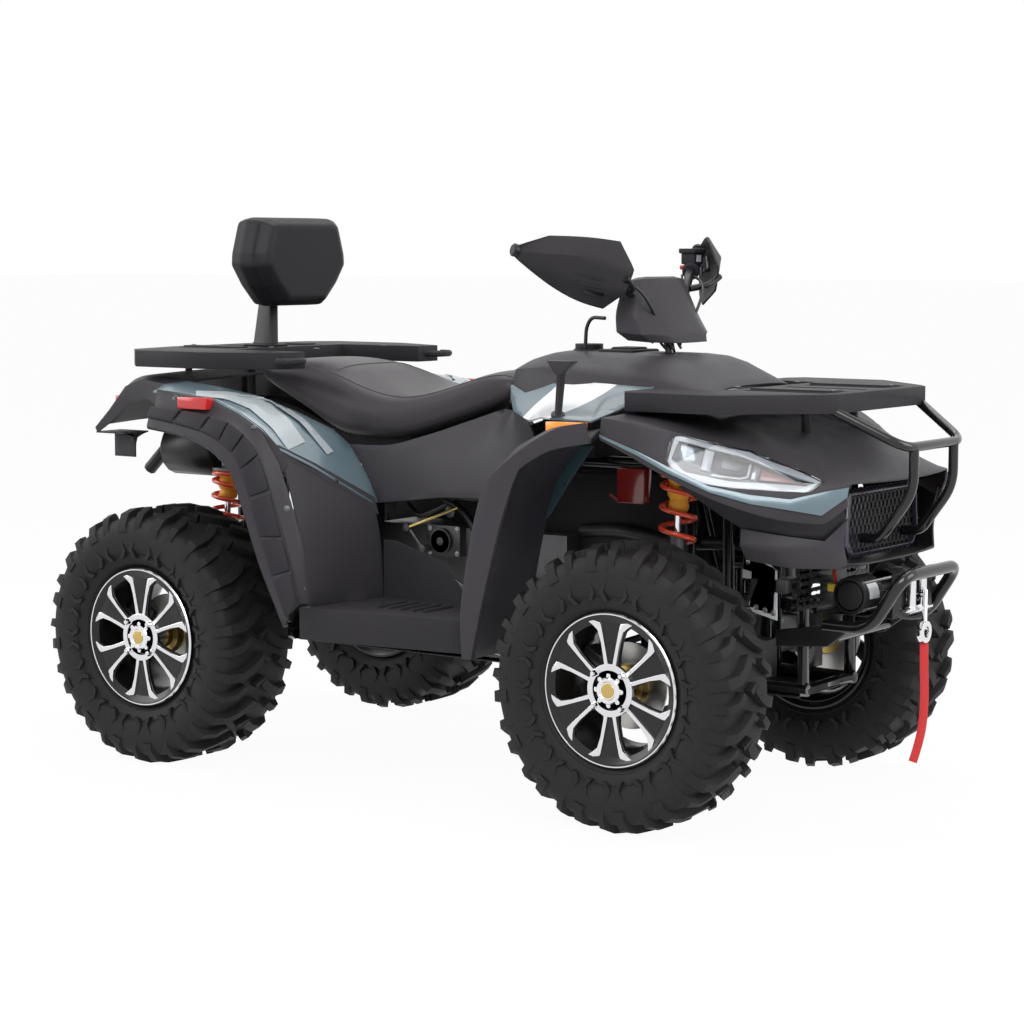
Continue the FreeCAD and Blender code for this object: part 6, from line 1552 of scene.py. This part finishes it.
def fillBetween(upper, lower, name, look, node):  # an inner panel between two lines of points, left side and right
    bm = bmesh.new()
    verts = [[bm.verts.new(spot(p)) for p in line] for line in (upper, lower)]
    for k in range(len(upper) - 1):
        bm.faces.new((verts[0][k], verts[0][k + 1], verts[1][k + 1], verts[1][k]))
    bmesh.ops.recalc_face_normals(bm, faces=bm.faces)
    faceSide(bm, 1)
    return settle(thicken(newPiece(name, both(bm)), 0.003), look, node, stands=False)


fillBetween([(772, 400, 756), (856, 398, 748), (931, 352, 724), (1000, 312, 712), (1052, 270, 702), (1080, 230, 724)],
            [(838, 330, 690), (884, 314, 662), (940, 300, 656), (990, 282, 650), (1040, 242, 644), (1078, 206, 676)],
            "chinPanels", "black", "grille_shroud")
fillBetween([(-272, 512, 806), (-224, 434, 760), (-152, 299, 672)],
            [(-250, 508, 756), (-194, 386, 690), (-146, 291, 630)], "bodyFillers", "charcoal", "footwell_walls")
fillBetween([(-650, 524, 925), (-560, 524, 919), (-460, 524, 907), (-380, 523, 879), (-310, 522, 842), (-262, 520, 800),
             (-240, 516, 760)],
            [(-648, 530, 906), (-560, 530, 900), (-462, 530, 888), (-386, 530, 862), (-322, 530, 828), (-276, 528, 780),
             (-252, 526, 740)],
            "arches", "charcoal", "rear_fenders")

engineTubes = [
    ("hose", 9, [(-70, -136, 660), (0, -150, 640), (40, -150, 590), (70, -146, 520), (60, -140, 450)]),
    ("hose", 8, [(30, -140, 720), (80, -150, 660), (110, -150, 590), (150, -140, 520), (150, -132, 440)]),
    ("hose", 6, [(-230, -138, 720), (-120, -148, 700), (0, -150, 700), (150, -140, 720), (230, -130, 700)]),
    ("hose", 7, [(-180, -134, 640), (-140, -142, 610), (-60, -142, 640), (10, -140, 690)]),
    ("hose", 16, [(300, -70, 600), (420, -84, 610), (560, -84, 590), (760, -70, 600), (1000, -90, 630)]),
    ("hose", 14, [(300, 60, 560), (460, 76, 560), (620, 80, 530), (800, 66, 560), (1000, 96, 620)]),
    ("hose", 24, [(80, -40, 720), (40, -70, 742), (-80, -84, 740), (-210, -80, 730)]),
    ("darkSteel", 5, [(-80, -150, 500), (-40, -160, 480), (10, -156, 450), (20, -130, 420)]),
    ("brass", 3.4, [(-146, -182, 588), (-100, -181, 605), (-50, -179, 624), (6, -176, 646)]),
    ("yellow", 4, [(110, -128, 560), (140, -150, 540), (170, -150, 500), (190, -128, 470)]),
    ("strap", 3, [(430, -150, 700), (470, -176, 690), (486, -186, 704), (494, -190, 716)]),
]


def dressEngine():
    byLook = {}
    for look, radius, route in engineTubes:
        byLook.setdefault(look, []).append(sweep(route, radius, 46, 14))
    for look, parts in byLook.items():
        dress("engine_" + look, joined(parts), look, "engine", angle=60)
    y = -124
    cover = joined([
        lathe([(0, 88), (10, 88), (13, 84), (16, 78), (22, 70), (24, 52), (30, 46), (31, 20), (31, 0)], (170, y, 404),
              (0, -1, 0), 56),
        lathe([(0, 58), (9, 58), (13, 52), (15, 40), (22, 34), (24, 0)], (-150, y, 430), (0, -1, 0), 44),
        lathe([(0, 22), (16, 22), (18, 19), (18, 0)], (40, y, 470), (0, -1, 0), 24),
        lathe([(0, 15), (24, 15), (26, 12), (26, 0)], (-40, y, 630), (0, -1, 0), 20),
    ])
    dress("engineCovers", both(cover), "aluminium", "engine")
    heads = []
    for cx, cz, reach, count in ((170, 404, 81, 9), (-150, 430, 52, 7)):
        for k in range(count):
            a = 2 * math.pi * k / count
            heads += twice(spot((cx + math.cos(a) * reach, y - 11, cz + math.sin(a) * reach)), (0, -1, 0))
    for x in (-100, -16):
        for z in (529, 588):
            heads.append((spot((x, y - 26, z)), (0, -1, 0)))
    stampAll("engineScrews", screwStamp(5.5, 4), heads, "steel", "engine")
    profile = [(0, 30), (6, 31), (12, 31), (14, 28), (14, 10), (12, 8), (12, 0)]
    dress("roundCap", lathe(profile, (-58, y - 26, 558.5), (0, -1, 0), 40), "rimBlack", "engine")
    boots = []
    for axle, end in ((675, 330.5), (-675, 355.5)):
        profile = [(end - 62, 13), (end - 58, 17)]
        for i in range(5):
            profile += [(end - 54 + i * 10, 20 + i * 1.3), (end - 49 + i * 10, 14.5 + i * 1.6)]
        profile += [(end - 3, 25.5), (end - 1, 25.5), (end - 1, 12)]
        boots.append(lathe(profile, (axle, 0, 317.5), (0, 1, 0), 28))
    dress("axleBoots", both(joined(boots)), "hose", "drivetrain")


dressEngine()


def seenSlab(name, pixels, near, far, look, node, mirror=False):  # a wall with its outline at these pixels
    outline = [(p.x, p.z) for p in (onPlane(u, v, near) for u, v in pixels)]
    bm = slab(outline, "y", near, far)
    return dress(name, both(bm) if mirror else bm, look, node, 0.002)


def dressDetails():
    seenSlab("seatBase", [(270, 398), (300, 408), (340, 430), (380, 438), (425, 434), (470, 420), (470, 450),
                          (380, 456), (330, 452), (290, 432), (262, 412)],
             -125, 125, "black", "seat_covers")
    wall = slab([(118, 344), (286, 344), (286, 640), (250, 690), (118, 690)], "x", -270, -266)
    wall = joined([wall, slab([(-270, 600), (138, 600), (138, 752), (0, 776), (-270, 776)], "y", 60, 64)])
    dress("rearInnerWalls", both(wall), "black", "footwell_walls", 0.001)
    seenSlab("innerWalls", [(530, 474), (690, 474), (700, 520), (690, 585), (600, 590), (556, 560), (530, 540)], -64,
             -60, "black", "frame_upper", True)
    seenSlab("armBracket", [(744, 546), (751, 546), (777, 571), (777, 621), (752, 612), (748, 604), (757, 580),
                            (742, 578)],
             -190, -186, "bezel", "frame_front", True)
    seats = [onPlane(u, v, -190) for u, v in ((756, 607), (765, 610), (773, 613), (748, 562))]
    bolts = [pair for p in seats for pair in twice(spot(p), (0, -1, 0))]
    stampAll("bracketScrews", screwStamp(5.5, 3), bolts, "steel", "frame_front")
    console = joined([block(330, 432, -58, 58, 1014, 1031), block(350, 414, -34, 34, 1024, 1036)])
    dress("tankConsole", console, "black", "tank_cover", 0.006, 4, angle=50)
    ventHose = sweep([(292, -52, 1034), (296, -54, 1082), (312, -56, 1106), (352, -58, 1104)], 4.5, 34, 12)
    dress("ventHose", ventHose, "hose", "tank_cover", angle=60)
    heads = []
    for x, z in ((650, 959), (760, 959), (1000, 959), (-470, 1016), (-620, 1016), (-890, 1016)):
        heads += twice(spot((x, 135, z)), (0, 0, 1))
    stampAll("rackScrews", screwStamp(7), heads, "darkSteel", "front_rack")
    pegs = bmesh.new()
    bmesh.ops.create_cone(pegs, cap_ends=True, segments=6, radius1=0.0026, radius2=0.0012, depth=0.004)
    places = []
    for i in range(5):
        x = 45.4 + 34 * (i - 2)
        for k in range(14):
            places += twice(spot((x, 344 + k * 7.8, 437.2)), (0, 0, 1))
    stampAll("footPegs", pegs, places, "black", "footrests")
    holes = bmesh.new()
    bmesh.ops.create_cone(holes, cap_ends=True, segments=10, radius1=0.0042, radius2=0.0042, depth=0.0009)
    places = []
    for i in range(9):
        for k in range(7):
            y = 70 + i * 11.5
            for side in (1, -1):
                place, facing = feel("front_plate", (1200, y * side, 478 + k * 13 + (i % 2) * 6), (-1, 0, 0))
                if place and facing.x > 0.9:
                    places.append((place + facing * 0.0002, facing))
    stampAll("plateHoles", holes, places, "rimBlack", "front_plate")


dressDetails()

strapPlan = {"points": [(1163, 0, 399.5), (1165, -3, 352), (1167, -2, 298), (1168, -6, 240), (1165, -16, 186),
                        (1157, -34, 138)],
             "half": 0.0085, "edge": 0.0012, "length": 0.266}


def makeStrap():
    data = bpy.data.curves.new("hookStrap", "CURVE")
    data.dimensions = "3D"
    line = data.splines.new("NURBS")
    line.points.add(len(strapPlan["points"]) - 1)
    for point, place in zip(line.points, strapPlan["points"]):
        point.co = (*spot(place), 1)
        point.tilt = math.radians(87)
    line.order_u = 3
    line.use_endpoint_u = True
    line.resolution_u = 10
    data.extrude = strapPlan["half"]
    data.bevel_depth = strapPlan["edge"]
    data.bevel_resolution = 2
    strap = bpy.data.objects.new("hookStrap", data)
    scene.collection.objects.link(strap)
    data.materials.append(finishes["strap"])
    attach(strap, "chassis")
    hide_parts("hook_strap")
    made.add("hook_strap")


makeStrap()
print("engine, small parts and strap ready")


hardPlan = [  # what keeps its CAD form: node, finish, edge width in metres, shading angle
    ("frame_lower", "gloss", 0, 50), ("frame_front", "gloss", 0, 50), ("frame_rear", "gloss", 0, 50),
    ("frame_upper", "gloss", 0, 50), ("skid_plate", "satin", 0.001, 40), ("engine", "aluminium", 0.002, 40),
    ("exhaust", "satin", 0, 50), ("drivetrain", "aluminium", 0.002, 50), ("control_box", "redCover", 0.004, 40),
    ("front_arms", "gloss", 0, 50), ("rear_arms", "gloss", 0, 50), ("knuckle_left", "darkSteel", 0.0015, 50),
    ("knuckle_right", "darkSteel", 0.0015, 50), ("tie_rod_left", "darkSteel", 0, 50),
    ("tie_rod_right", "darkSteel", 0, 50), ("steering_stem", "gloss", 0, 50), ("front_rack", "black", 0.0015, 40),
    ("rear_rack", "black", 0.0015, 40), ("front_plate", "satin", 0.0006, 40), ("fuel_tank", "black", 0.004, 40),
    ("footrests", "black", 0.0015, 40), ("fender_brackets", "aluminium", 0.0008, 40),
    ("backrest_post", "satin", 0.0015, 40), ("tow_hitch", "satin", 0.0012, 40),
    ("gear_lever", "charcoal", 0.002, 50),
]
panels = ["nose_fairing", "tank_cover", "tail", "front_fenders", "rear_fenders", "footwell_walls", "seat_covers",
          "side_panels", "grille_shroud"]
for node, look, width, angle in hardPlan:
    refineHard(node, look, width, angle)
for node in panels:
    look = "paintBand" if node == "side_panels" else "charcoal"
    refinePanel(node, look, firm=node in ("rear_fenders", "side_panels", "tail", "seat_covers"))
print("other parts ready, nodes left:", [name for name in nodes if name not in made])
